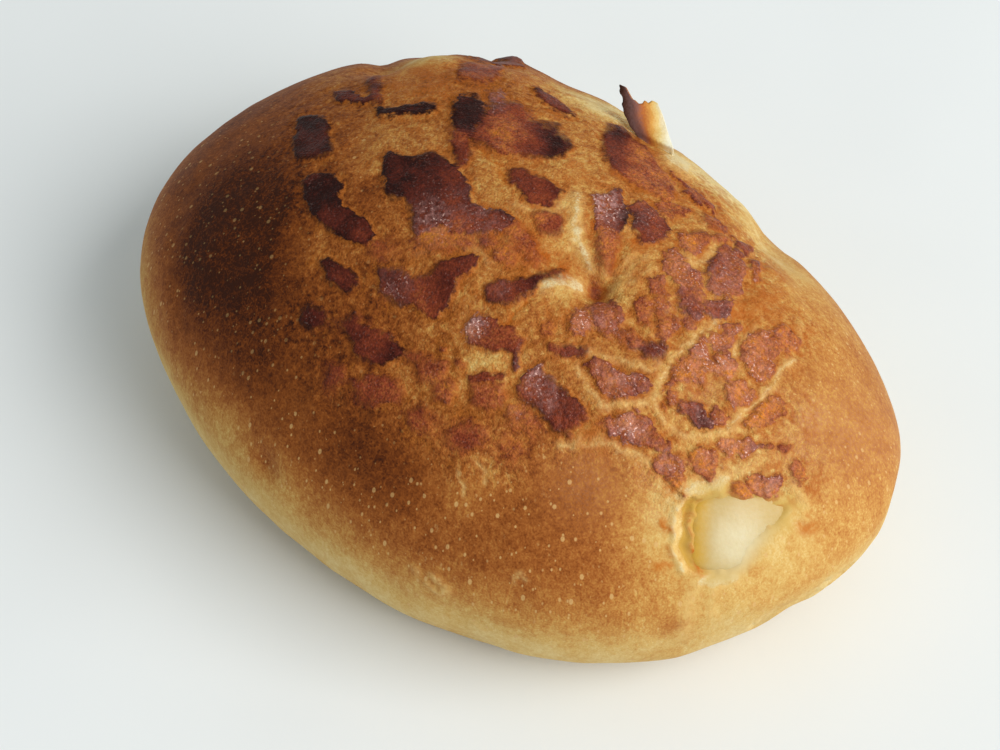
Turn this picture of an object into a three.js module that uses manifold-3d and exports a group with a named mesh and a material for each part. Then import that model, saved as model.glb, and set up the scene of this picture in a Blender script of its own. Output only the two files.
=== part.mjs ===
// Rice bread: a soft oval roll under a crackled crust of rice paste. The crust has split into raised
// plates, one flake of it stands up at the back, and a die of the cheese filling shows through a burst.
// Millimetres and degrees, +Z up, the long way of the roll along X, the origin under its middle.
import * as THREE from "three";
import { mergeVertices } from "three/addons/utils/BufferGeometryUtils.js";
import Module from "manifold-3d";

const wasm = await Module();
wasm.setup();

// The roll: a superellipse in plan that narrows towards +X, with a dome above its widest level and a
// rounded foot below it.
const LENGTH = 120;
const WIDTH = 85.6;
const HEIGHT = 50;
const WIDEST_LEVEL = 19;
const PLAN_SQUARENESS = 2.1;
const DOME_SQUARENESS = 1.8;
const FOOT_SQUARENESS = 2.2;
const FOOT_SHARE = 0.72; // the flat foot's share of the plan
const NARROWING = -0.07; // change of half width per half length
const THREE_SIDED = { share: 0.014, turn: 31 }; // the hand-shaped outline is not quite an oval
const FOUR_SIDED = { share: 0.024, turn: 25 };
const SECTORS = 66;
const RINGS = 32;
const FOOT_PART = 0.16; // of the way from the foot's middle to the top, the share on the flat foot
const EDGE_PART = 0.4; // and the share up to the widest level

// The crust is drawn as it is seen from one place above the front of the roll, in a frame of 1000 by 750
// pixels, and carried along the sight lines onto the dome.
const VIEW_TURN = 39;
const VIEW_TILT = 54;
const VIEW_DISTANCE = 347;
const VIEW_AIM = { right: -1.4, up: -6.55, level: 22 };
const VIEW_CENTRE = [500, 375];
const PIXELS_PER_SLOPE = 2361; // pixels across the frame for a sight line that slopes one in one

// Swellings and dips of the dough: where they are seen, how far they reach and how much they rise.
const SWELLINGS = {
  backShoulder: { at: [470, 82], reach: 9, rise: 1.2 },
  pinch: { at: [600, 288], reach: 3.2, rise: -2.6 },
  pinchValley: { at: [580, 252], reach: 4.0, rise: -1.0 },
  burstCheek: { at: [770, 555], reach: 9, rise: 0.9 },
  hollowUnderWedge: { at: [420, 330], reach: 6, rise: -0.7 },
};

// Plates of rice crust, each seen as [across, down, length, width, turn] in pixels and degrees, the turn
// from level and clockwise.
const PLATE_RISE = 0.9;
const PLATE_ROOT = 1.4;
const PLATE_CORNERS = 10;
const PLATE_SQUARENESS = 3.2;
const PLATE_RAGGEDNESS = 0.13;
const PLATE_TOP_SHARE = 0.9;
const PLATES = {
  leftSquare: [313, 137, 42, 34, 85],
  leftBoot: [326, 198, 50, 32, 78],
  leftToe: [354, 232, 40, 22, 22],
  ridgeStrip: [406, 113, 64, 12, 3],
  rimStrip: [354, 97, 48, 10, 5],
  saddle: [424, 178, 90, 50, 25],
  saddleTail: [464, 222, 100, 28, 8],
  wedge: [418, 288, 78, 30, 5],
  wedgeHorn: [452, 276, 64, 26, -48],
  nub: [492, 335, 64, 32, 18],
  bar: [522, 286, 76, 23, -12],
  crownKnob: [468, 120, 42, 30, 100],
  crownSheet: [522, 132, 92, 50, 20],
  crownTail: [535, 186, 62, 26, 32],
  rimPlate: [478, 80, 54, 18, 0],
  farStrip: [554, 104, 46, 11, 40],
  shoulder: [636, 162, 96, 40, 48],
  post: [608, 212, 48, 34, 85],
  postFoot: [607, 256, 40, 22, 80],
  postSide: [648, 222, 46, 28, 30],
  lozenge: [671, 210, 30, 14, 5],
  chipChain: [692, 194, 56, 12, 42],
  chip: [714, 222, 28, 11, 25],
  lastChip: [744, 242, 28, 11, 25],
  bean: [704, 239, 58, 22, 8],
  blushLeft: [674, 286, 72, 38, 78],
  blushRight: [722, 284, 70, 44, 80],
  middle: [596, 317, 56, 30, 5],
  tongue: [645, 347, 48, 20, 10],
  leaf: [614, 378, 66, 30, 35],
  kite: [702, 364, 62, 42, -42],
  kiteFoot: [737, 386, 36, 26, 40],
  kiteWing: [762, 357, 46, 36, 70],
  blade: [765, 414, 54, 24, -30],
  slab: [699, 416, 46, 24, 35],
  anvil: [634, 432, 72, 24, 22],
  keystone: [548, 402, 84, 42, 48],
  anvilTail: [667, 470, 40, 24, 40],
  smallBox: [701, 463, 28, 26, 80],
  nugget: [735, 448, 28, 16, 0],
  cheeseLid: [760, 488, 52, 18, 5],
  leftPatch: [370, 345, 70, 36, 55],
  lowPatch: [488, 388, 38, 28, 5],
};

// The crust goes on over the back of the dome, where plates lie in rows by a seeded rule.
const BACK_ROWS = [
  { share: 0.5, from: 60, to: 200, count: 7 },
  { share: 0.68, from: 70, to: 190, count: 8 },
  { share: 0.84, from: 80, to: 175, count: 7 },
];
const BACK_PLATE = { long: 11, wide: 6, sizeSpread: 0.35, turnSpread: 0.5, placeSpread: 0.25 };
const BACK_LIMITS = { inner: 0.2, outer: 0.97 };
const SEED = 7;

// The flake that stands up: its foot runs between two seen points, its outline is in millimetres along
// the foot and up from it.
const FLAKE_FOOT = { from: [663, 166], to: [627, 126] };
const FLAKE_THICKNESS = 1.1;
const FLAKE_OUTLINE = [
  [-2.2, -2.5],
  [7.2, -2.5],
  [7.6, 1.5],
  [8.3, 6.2],
  [7.3, 6.6],
  [6.3, 3.9],
  [4.6, 5.6],
  [1.4, 8.2],
  [0.5, 7.0],
  [-0.4, 4.2],
  [-1.6, 1.4],
];

// The die of cheese in its burst: a rounded block, sunk along the dough's normal.
const CHEESE = { at: [739, 534], across: 15, along: 11.8, deep: 10.5, squareness: 3, turn: -4 };
const CHEESE_PROUD = 0.5;
const POCKET_GAP = 0.35;
const CHEESE_SECTORS = 26;
const CHEESE_RINGS = 18;

const DOUGH = new THREE.MeshStandardMaterial({ color: "#b4762f", roughness: 0.62, metalness: 0 });
const CURD = new THREE.MeshStandardMaterial({ color: "#eddf9f", roughness: 0.42, metalness: 0 });

const radians = THREE.MathUtils.degToRad;
const signedPower = (value, power) => Math.sign(value) * Math.abs(value) ** power;

// A repeatable draw between -1 and 1.
function drawFrom(seed) {
  let state = seed;
  return () => {
    state = (state * 1103515245 + 12345) % 2147483648;
    return (state / 2147483648) * 2 - 1;
  };
}

// Reach of the plan in one direction, where 1 is a half length or a half width.
function planReach(turn) {
  const oval =
    (Math.abs(Math.cos(turn)) ** PLAN_SQUARENESS + Math.abs(Math.sin(turn)) ** PLAN_SQUARENESS) **
    (-1 / PLAN_SQUARENESS);
  const threeSided = THREE_SIDED.share * Math.cos(3 * (turn - radians(THREE_SIDED.turn)));
  const fourSided = FOUR_SIDED.share * Math.cos(4 * (turn - radians(FOUR_SIDED.turn)));
  return oval * (1 + threeSided + fourSided);
}

// The plain loaf: share 0 is its axis and share 1 its widest outline, at the given level.
function loafPoint(turn, share, level) {
  const across = share * planReach(turn) * Math.cos(turn);
  const along = share * planReach(turn) * Math.sin(turn);
  return new THREE.Vector3(
    (LENGTH / 2) * across,
    (WIDTH / 2) * along * (1 + NARROWING * across),
    level,
  );
}

// Share and level of the outline from the foot's middle (0) to the top (1).
function profile(part) {
  if (part < FOOT_PART) return { share: (FOOT_SHARE * part) / FOOT_PART, level: 0 };
  if (part < EDGE_PART) {
    const bend = (1 - (part - FOOT_PART) / (EDGE_PART - FOOT_PART)) * (Math.PI / 2);
    return {
      share: FOOT_SHARE + (1 - FOOT_SHARE) * Math.cos(bend) ** (2 / FOOT_SQUARENESS),
      level: WIDEST_LEVEL * (1 - Math.sin(bend) ** (2 / FOOT_SQUARENESS)),
    };
  }
  const climb = ((part - EDGE_PART) / (1 - EDGE_PART)) * (Math.PI / 2);
  return {
    share: Math.max(Math.cos(climb), 0) ** (2 / DOME_SQUARENESS),
    level: WIDEST_LEVEL + (HEIGHT - WIDEST_LEVEL) * Math.sin(climb) ** (2 / DOME_SQUARENESS),
  };
}

// A measure that is 0 on the plain dome, more outside it and less inside.
function outsideDome(point) {
  const across = point.x / (LENGTH / 2);
  const along = point.y / ((WIDTH / 2) * (1 + NARROWING * across));
  const share = Math.hypot(across, along) / planReach(Math.atan2(along, across));
  const rise = point.z - WIDEST_LEVEL;
  const half = rise > 0 ? HEIGHT - WIDEST_LEVEL : WIDEST_LEVEL;
  return share ** DOME_SQUARENESS + Math.abs(rise / half) ** DOME_SQUARENESS - 1;
}

function domeNormal(point) {
  const step = 0.05;
  const slope = (axis) => {
    const ahead = point.clone().addScaledVector(axis, step);
    const behind = point.clone().addScaledVector(axis, -step);
    return outsideDome(ahead) - outsideDome(behind);
  };
  return new THREE.Vector3(
    slope(new THREE.Vector3(1, 0, 0)),
    slope(new THREE.Vector3(0, 1, 0)),
    slope(new THREE.Vector3(0, 0, 1)),
  ).normalize();
}

// The place that the crust is seen from.
const turnedBy = radians(VIEW_TURN);
const tiltedBy = radians(VIEW_TILT);
const toViewer = new THREE.Vector3(
  Math.sin(turnedBy) * Math.cos(tiltedBy),
  -Math.cos(turnedBy) * Math.cos(tiltedBy),
  Math.sin(tiltedBy),
);
const viewRight = new THREE.Vector3(Math.cos(turnedBy), Math.sin(turnedBy), 0);
const viewUp = new THREE.Vector3().crossVectors(toViewer, viewRight);
const eye = new THREE.Vector3(0, 0, VIEW_AIM.level)
  .addScaledVector(viewRight, VIEW_AIM.right)
  .addScaledVector(viewUp, VIEW_AIM.up)
  .addScaledVector(toViewer, VIEW_DISTANCE);

// The point of the dome seen at a pixel, or null where the sight line misses it.
function seenPoint([across, down]) {
  const sight = toViewer
    .clone()
    .negate()
    .addScaledVector(viewRight, (across - VIEW_CENTRE[0]) / PIXELS_PER_SLOPE)
    .addScaledVector(viewUp, -(down - VIEW_CENTRE[1]) / PIXELS_PER_SLOPE)
    .normalize();
  const at = (distance) => eye.clone().addScaledVector(sight, distance);
  const step = 0.5;
  let near = VIEW_DISTANCE - LENGTH;
  while (near < VIEW_DISTANCE + LENGTH && outsideDome(at(near)) > 0) near += step;
  if (near >= VIEW_DISTANCE + LENGTH) return null;
  let out = near - step;
  let inside = near;
  for (let halving = 0; halving < 20; halving++) {
    const middle = (out + inside) / 2;
    if (outsideDome(at(middle)) > 0) out = middle;
    else inside = middle;
  }
  return at(inside);
}

const swellings = Object.values(SWELLINGS).map((swelling) => ({
  ...swelling,
  centre: seenPoint(swelling.at),
}));

// A point of the plain dome moved out or in by the swellings near it.
function swollen(point) {
  const rise = swellings.reduce(
    (sum, { centre, reach, rise }) =>
      sum + rise * Math.exp(-point.distanceToSquared(centre) / (2 * reach * reach)),
    0,
  );
  return point.clone().addScaledVector(domeNormal(point), rise);
}

// A closed geometry as a solid that can be joined and cut.
function solidOf(geometry) {
  const bare = geometry.clone();
  for (const name of Object.keys(bare.attributes)) if (name !== "position") bare.deleteAttribute(name);
  const merged = mergeVertices(bare, 1e-4);
  return new wasm.Manifold(
    new wasm.Mesh({
      numProp: 3,
      vertProperties: new Float32Array(merged.attributes.position.array),
      triVerts: new Uint32Array(merged.index.array),
    }),
  );
}

function meshOf(solid, name, material) {
  const { numProp, vertProperties, triVerts } = solid.getMesh();
  const positions = new THREE.InterleavedBuffer(vertProperties, numProp);
  const geometry = new THREE.BufferGeometry();
  geometry.setAttribute("position", new THREE.InterleavedBufferAttribute(positions, 3, 0));
  geometry.setIndex(new THREE.BufferAttribute(triVerts, 1));
  geometry.computeVertexNormals();
  const mesh = new THREE.Mesh(geometry, material);
  mesh.name = name;
  return mesh;
}

// A sphere's grid, with its poles along Z, moved point by point to place(turn, part from the lower pole).
function reshapedSphere(sectors, rings, place) {
  const sphere = new THREE.SphereGeometry(1, sectors, rings).rotateX(Math.PI / 2);
  const positions = sphere.attributes.position;
  for (let i = 0; i < positions.count; i++) {
    const onSphere = new THREE.Vector3().fromBufferAttribute(positions, i).normalize();
    const part = 1 - Math.acos(THREE.MathUtils.clamp(onSphere.z, -1, 1)) / Math.PI;
    const moved = place(Math.atan2(onSphere.y, onSphere.x), part);
    positions.setXYZ(i, moved.x, moved.y, moved.z);
  }
  return sphere;
}

function doughSolid() {
  return solidOf(
    reshapedSphere(SECTORS, RINGS, (turn, part) => {
      const { share, level } = profile(part);
      const point = loafPoint(turn, share, level);
      return level > WIDEST_LEVEL ? swollen(point) : point;
    }),
  );
}

// A thin slab over an outline of dome points, with a smaller top and a root in the dough.
function slabSolid(centre, outline) {
  const lift = (point, by) => swollen(point).addScaledVector(domeNormal(point), by);
  const top = outline.map((point) => lift(point.clone().lerp(centre, 1 - PLATE_TOP_SHARE), PLATE_RISE));
  const root = outline.map((point) => lift(point, -PLATE_ROOT));
  const corners = [...top, ...root, lift(centre, PLATE_RISE), lift(centre, -PLATE_ROOT)];
  const count = outline.length;
  const triangles = [];
  for (let i = 0; i < count; i++) {
    const next = (i + 1) % count;
    triangles.push(2 * count, i, next);
    triangles.push(2 * count + 1, count + next, count + i);
    triangles.push(i, count + i, count + next, i, count + next, next);
  }
  const slab = new THREE.BufferGeometry().setFromPoints(corners);
  slab.setIndex(triangles);
  return solidOf(slab);
}

const draw = drawFrom(SEED);

// A ragged rounded outline about a middle: place(right, down) gives a dome point or null.
function raggedOutline(long, wide, turn, place) {
  const outline = [];
  for (let i = 0; i < PLATE_CORNERS; i++) {
    const round = (-2 * Math.PI * i) / PLATE_CORNERS;
    const ragged = 1 + PLATE_RAGGEDNESS * draw();
    const u = (long / 2) * ragged * signedPower(Math.cos(round), 2 / PLATE_SQUARENESS);
    const v = (wide / 2) * ragged * signedPower(Math.sin(round), 2 / PLATE_SQUARENESS);
    const right = u * Math.cos(turn) - v * Math.sin(turn);
    const down = u * Math.sin(turn) + v * Math.cos(turn);
    let point = null;
    for (let reach = 1; !point && reach > 0; reach -= 0.1) point = place(right * reach, down * reach);
    outline.push(point);
  }
  return outline;
}

function seenPlate([across, down, long, wide, turn]) {
  const outline = raggedOutline(long, wide, radians(turn), (right, below) =>
    seenPoint([across + right, down + below]),
  );
  return slabSolid(seenPoint([across, down]), outline);
}

// The plain dome's point under a direction and a share of the plan.
function domePoint(turn, share) {
  const level =
    WIDEST_LEVEL + (HEIGHT - WIDEST_LEVEL) * (1 - share ** DOME_SQUARENESS) ** (1 / DOME_SQUARENESS);
  return loafPoint(turn, share, level);
}

function backPlates() {
  return BACK_ROWS.flatMap(({ share, from, to, count }) =>
    Array.from({ length: count }, (_, i) => {
      const turn = radians(from + ((to - from) * (i + 0.5 + BACK_PLATE.placeSpread * draw())) / count);
      const size = 1 + BACK_PLATE.sizeSpread * draw();
      const middle = domePoint(turn, share);
      const outline = raggedOutline(
        BACK_PLATE.long * size,
        BACK_PLATE.wide * size,
        Math.PI / 2 + BACK_PLATE.turnSpread * draw(),
        (out, round) =>
          domePoint(
            turn - round / Math.hypot(middle.x, middle.y),
            THREE.MathUtils.clamp(share + out / (WIDTH / 2), BACK_LIMITS.inner, BACK_LIMITS.outer),
          ),
      );
      return slabSolid(middle, outline);
    }),
  );
}

// The standing flake: a thin sheet on the line of its foot, turned to face the viewer.
function flakeSolid() {
  const from = seenPoint(FLAKE_FOOT.from);
  const along = seenPoint(FLAKE_FOOT.to).sub(from).normalize();
  const face = new THREE.Vector3().crossVectors(along, viewUp).normalize();
  const up = new THREE.Vector3().crossVectors(face, along);
  const outline = new THREE.Shape(FLAKE_OUTLINE.map(([x, y]) => new THREE.Vector2(x, y)));
  const sheet = new THREE.ExtrudeGeometry(outline, { depth: FLAKE_THICKNESS, bevelEnabled: false });
  sheet.translate(0, 0, -FLAKE_THICKNESS / 2);
  sheet.applyMatrix4(new THREE.Matrix4().makeBasis(along, up, face).setPosition(from));
  return solidOf(sheet);
}

// The cheese, or with a gap the pocket that it sits in.
function cheeseSolid(gap) {
  const seat = seenPoint(CHEESE.at);
  const out = domeNormal(seat);
  const across = viewRight.clone().addScaledVector(out, -viewRight.dot(out)).normalize();
  across.applyAxisAngle(out, radians(CHEESE.turn));
  const along = new THREE.Vector3().crossVectors(out, across);
  const centre = swollen(seat).addScaledVector(out, CHEESE_PROUD - CHEESE.deep / 2);
  const power = 2 / CHEESE.squareness;
  const block = reshapedSphere(CHEESE_SECTORS, CHEESE_RINGS, (turn, part) => {
    const tilt = (part - 0.5) * Math.PI;
    const ring = signedPower(Math.cos(tilt), power);
    return centre
      .clone()
      .addScaledVector(across, (CHEESE.across / 2 + gap) * ring * signedPower(Math.cos(turn), power))
      .addScaledVector(along, (CHEESE.along / 2 + gap) * ring * signedPower(Math.sin(turn), power))
      .addScaledVector(out, (CHEESE.deep / 2 + gap) * signedPower(Math.sin(tilt), power));
  });
  return solidOf(block);
}

const crust = [...Object.values(PLATES).map(seenPlate), ...backPlates(), flakeSolid()];
const crusted = crust.reduce((joined, piece) => joined.add(piece), doughSolid());
const bread = crusted.subtract(cheeseSolid(POCKET_GAP));

const roll = new THREE.Group();
roll.add(meshOf(bread, "bread", DOUGH), meshOf(cheeseSolid(0), "cheese", CURD));

// The origin goes under the middle of the roll's box.
const box = new THREE.Box3().setFromObject(roll);
const middle = box.getCenter(new THREE.Vector3());
roll.position.set(-middle.x, -middle.y, -box.min.z);

export default roll;
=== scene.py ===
import bpy
import math
import numpy as np
from mathutils import Matrix, Vector


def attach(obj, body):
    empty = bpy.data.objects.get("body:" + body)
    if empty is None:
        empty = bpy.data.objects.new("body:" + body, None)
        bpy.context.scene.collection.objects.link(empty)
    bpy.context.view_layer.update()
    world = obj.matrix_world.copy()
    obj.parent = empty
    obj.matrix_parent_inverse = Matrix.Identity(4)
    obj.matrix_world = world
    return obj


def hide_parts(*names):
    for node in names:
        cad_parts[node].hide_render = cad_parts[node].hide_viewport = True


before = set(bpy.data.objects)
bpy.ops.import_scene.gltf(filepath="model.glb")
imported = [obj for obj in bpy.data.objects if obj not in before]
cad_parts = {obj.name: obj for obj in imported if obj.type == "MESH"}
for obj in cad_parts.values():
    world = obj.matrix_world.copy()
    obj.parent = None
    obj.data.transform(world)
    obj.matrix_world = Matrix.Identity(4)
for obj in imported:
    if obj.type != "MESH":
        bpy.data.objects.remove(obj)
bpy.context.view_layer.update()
mm = 0.001
print("frame loaded, nodes:", sorted(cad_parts))

# the roll's body in mm and degrees: an oval plan that narrows to +X, a dome, a rounded foot
roll = {
    "length": 120,
    "width": 85.6,
    "height": 50,
    "widestLevel": 19,
    "planSquareness": 2.1,
    "domeSquareness": 1.8,
    "footSquareness": 2.2,
    "footShare": 0.72,
    "footHollow": 0.25,    # how far the middle of the foot is off the floor
    "plainBelow": 6.0,     # level under which the relief fades out
    "narrowing": -0.07,
    "threeSided": (0.014, 31),
    "fourSided": (0.024, 25),
    "capCount": 140,       # rows and columns of the mesh over the crown
    "capShare": 0.6,       # where the crown's mesh ends and rings begin
    "bandRows": 130,
    "lowDensity": 0.4,     # rings below the widest level, against those above
    "lean": (0.45, -18),   # how much closer the mesh lies towards the burst, and its turn
    "footRings": 3,
}

# where the photo was taken from, and a place behind the roll for the crust that it doesn't show
photoView = {"turn": 39, "tilt": 54, "distance": 347, "right": -1.4, "up": -6.55, "level": 22}
backView = {"turn": 219, "tilt": 40, "distance": 347, "right": 0, "up": 0, "level": 22}
picture = {
    "across": 1000, "down": 750,  # pixels
    "lens": 85, "sensor": 36,
    "searched": (260, 430),       # mm from the eye
}
pixelsPerSlope = picture["across"] * picture["lens"] / picture["sensor"]
pixelsPerMm = 7.0  # on the roll


def smooth(low, high, value):
    t = np.clip((value - low) / (high - low), 0, 1)
    return t * t * (3 - 2 * t)


# 1 at a centre, fading to 0 over about twice the reach
def fade(places, centre, reach):
    return np.exp(-((places - centre) ** 2).sum(1) / (2 * reach * reach))


def planReach(turn):
    p = roll["planSquareness"]
    oval = (np.abs(np.cos(turn)) ** p + np.abs(np.sin(turn)) ** p) ** (-1 / p)
    share3, turn3 = roll["threeSided"]
    share4, turn4 = roll["fourSided"]
    return oval * (
        1
        + share3 * np.cos(3 * (turn - math.radians(turn3)))
        + share4 * np.cos(4 * (turn - math.radians(turn4)))
    )


def loafPoint(turn, share, level):
    across = share * planReach(turn) * np.cos(turn)
    along = share * planReach(turn) * np.sin(turn)
    x = roll["length"] / 2 * across
    y = roll["width"] / 2 * along * (1 + roll["narrowing"] * across)
    return np.stack([x, y, np.broadcast_to(level, x.shape)], -1)


# 0 on the plain loaf, more outside it
def outsideLoaf(points):
    across = points[..., 0] / (roll["length"] / 2)
    along = points[..., 1] / (roll["width"] / 2 * (1 + roll["narrowing"] * across))
    share = np.hypot(across, along) / planReach(np.arctan2(along, across))
    rise = points[..., 2] - roll["widestLevel"]
    climb = np.maximum(rise, 0) / (roll["height"] - roll["widestLevel"])
    dome = share ** roll["domeSquareness"] + climb ** roll["domeSquareness"] - 1
    p = roll["footSquareness"]
    drop = np.clip(-rise / roll["widestLevel"], 0, 1)
    foot = share - roll["footShare"] - (1 - roll["footShare"]) * (1 - drop**p) ** (1 / p)
    return np.where(rise >= 0, dome, np.maximum(foot, -points[..., 2]))


# how outsideLoaf grows along each axis, by mm
def loafSlope(points):
    steps = 0.05 * np.eye(3)
    slope = [(outsideLoaf(points + step) - outsideLoaf(points - step)) / 0.1 for step in steps]
    return np.stack(slope, -1)


def loafNormal(points):
    slope = loafSlope(points)
    return slope / np.maximum(np.linalg.norm(slope, axis=-1, keepdims=True), 1e-9)


# the eye and the directions of a view
def sightFrom(view):
    turn, tilt = math.radians(view["turn"]), math.radians(view["tilt"])
    right = np.array([math.cos(turn), math.sin(turn), 0])
    flat = math.cos(tilt)
    back = np.array([math.sin(turn) * flat, -math.cos(turn) * flat, math.sin(tilt)])
    up = np.cross(back, right)
    middle = np.array([0, 0, view["level"]])
    eye = middle + view["right"] * right + view["up"] * up + view["distance"] * back
    return {"right": right, "up": up, "back": back, "eye": eye}


def pixelsOf(sight, points):
    way = points - sight["eye"]
    depth = -way @ sight["back"]
    x = picture["across"] / 2 + pixelsPerSlope * (way @ sight["right"]) / depth
    y = picture["down"] / 2 - pixelsPerSlope * (way @ sight["up"]) / depth
    return np.stack([x, y], -1)


# directions of the sight lines through some pixels
def sightLines(sight, pixels):
    slopes = (pixels - [picture["across"] / 2, picture["down"] / 2]) / pixelsPerSlope
    return -sight["back"] + slopes[:, :1] * sight["right"] - slopes[:, 1:] * sight["up"]


# the points of the plain loaf seen at some pixels; a sight line that misses gives its nearest point
def seenPoints(sight, pixels):
    way = sightLines(sight, np.atleast_2d(np.array(pixels, float)))
    distances = np.arange(*picture["searched"], 1.0)
    measure = outsideLoaf(sight["eye"] + distances[None, :, None] * way[:, None, :])
    hit = (measure < 0).any(1)
    first = np.where(hit, (measure < 0).argmax(1), measure.argmin(1))
    low, high = distances[np.maximum(first - 1, 0)], distances[first]
    for halving in range(20):
        middle = (low + high) / 2
        outside = outsideLoaf(sight["eye"] + middle[:, None] * way) > 0
        low, high = np.where(outside, middle, low), np.where(outside, high, middle)
    return sight["eye"] + high[:, None] * way


# 1 where a surface faces the eye, 0 edge-on, below 0 where it faces away
def facingEye(points, normals, sight):
    toEye = sight["eye"] - points
    return (toEye * normals).sum(1) / np.linalg.norm(toEye, axis=1)


photoSight = sightFrom(photoView)
backSight = sightFrom(backView)
outlineTurns = np.linspace(0, 2 * math.pi, 2000)
planOutline = loafPoint(outlineTurns, np.ones_like(outlineTurns), 0.0)
rollCentre = (planOutline.min(0) + planOutline.max(0)) / 2
rollCentre[2] = 0


# smooth noise from -1 to 1 with lumps of about this size
def lumps(points, size, seed):
    side = 48
    lattice = np.random.default_rng(seed).uniform(-1, 1, (side, side, side))
    q = points / size
    cell = np.floor(q).astype(int)
    f = q - cell
    f = f * f * (3 - 2 * f)
    total = np.zeros(len(points))
    for corner in np.ndindex(2, 2, 2):
        weight = np.prod(np.where(np.array(corner) == 1, f, 1 - f), -1)
        total += weight * lattice[tuple(((cell + corner) % side).T)]
    return total


# a shift for each point, one noise for each seed
def wander(points, size, seeds):
    return np.stack([lumps(points, size, seed) for seed in seeds], -1)


# 1 on the seams of uneven cells of about this size, 0 half a millimetre inside them
def cellSeams(points, size, seed):
    side = 32
    shift = np.random.default_rng(seed).uniform(0.1, 0.9, (side, side, side, 3))
    q = points / size
    cell = np.floor(q).astype(int)
    nearest, second = np.full(len(points), 9.0), np.full(len(points), 9.0)
    for step in np.ndindex(3, 3, 3):
        other = cell + np.array(step) - 1
        gap = np.linalg.norm(other + shift[tuple((other % side).T)] - q, axis=1)
        second = np.minimum(second, np.maximum(nearest, gap))
        nearest = np.minimum(nearest, gap)
    return smooth(0.5, 0.05, (second - nearest) * size)


# swellings and dips of the dough: pixel in the photo, reach and rise in mm
swellings = {
    "backShoulder": ((470, 82), 9, 1.0),
    "yellowBump": ((428, 66), 3.2, 0.9),
    "rimDip": ((386, 66), 2.6, -1.5),
    "rimCurl": ((512, 63), 1.6, 0.7),
    "farDip": ((575, 90), 5, -0.6),
    "rightRimDip": ((772, 242), 5, -1.5),
    "frontDip": ((455, 630), 8, -0.6),
    "leftDip": ((165, 370), 9, -0.4),
    "pinch": ((598, 287), 1.6, -2.4),
    "pinchValley": ((582, 255), 3.5, -1.0),
    "burstCheek": ((770, 555), 9, 0.9),
    "hollowUnderWedge": ((420, 330), 6, -0.7),
    "leftDent": ((265, 465), 1.6, -0.6),
    "flakeFoot": ((672, 165), 2.6, 0.4),
}
# rises and dips of the roll's edge as the photo shows it: pixel, reach in pixels, rise in mm
edgeSwellings = {
    "besideBump": ((384, 66), 12, -1.5),
    "bumpTop": ((425, 58), 18, -0.65),
    "beforeCurl": ((492, 61), 13, -0.8),
    "curl": ((513, 60), 8, 0.25),
    "farRim": ((565, 88), 22, -0.4),
    "rightRim": ((772, 240), 20, -1.2),
    "rightEnd": ((893, 495), 22, -0.6),
    "lowMiddle": ((675, 653), 22, 0.5),
    "lowLeft": ((471, 634), 24, -0.5),
    "lowRight": ((788, 606), 16, -0.7),
    "flakeFoot": ((654, 146), 13, -0.9),
}
edgeOn = (0.32, 0.08)  # facing of the surface between which the edge begins
# lumps and ripples all over: rise and size in mm
unevenness = {"lump": (0.3, 15), "ripple": (0.14, 6)}


def swell(points):
    rise = np.zeros(len(points))
    for pixel, reach, height in swellings.values():
        rise += height * fade(points, seenPoints(photoSight, [pixel])[0], reach)
    facing = facingEye(points, loafNormal(points), photoSight)
    nearEdge, pixels = smooth(*edgeOn, np.abs(facing)), pixelsOf(photoSight, points)
    for pixel, reach, height in edgeSwellings.values():
        rise += height * nearEdge * fade(pixels, pixel, reach)
    return rise


# the dough's own round and unevenness, which the cheese follows
def doughRise(points):
    (lump, lumpSize), (ripple, rippleSize) = unevenness["lump"], unevenness["ripple"]
    rise = swell(points) + lump * lumps(points, lumpSize, 1)
    return rise + ripple * lumps(points, rippleSize, 2)


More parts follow.
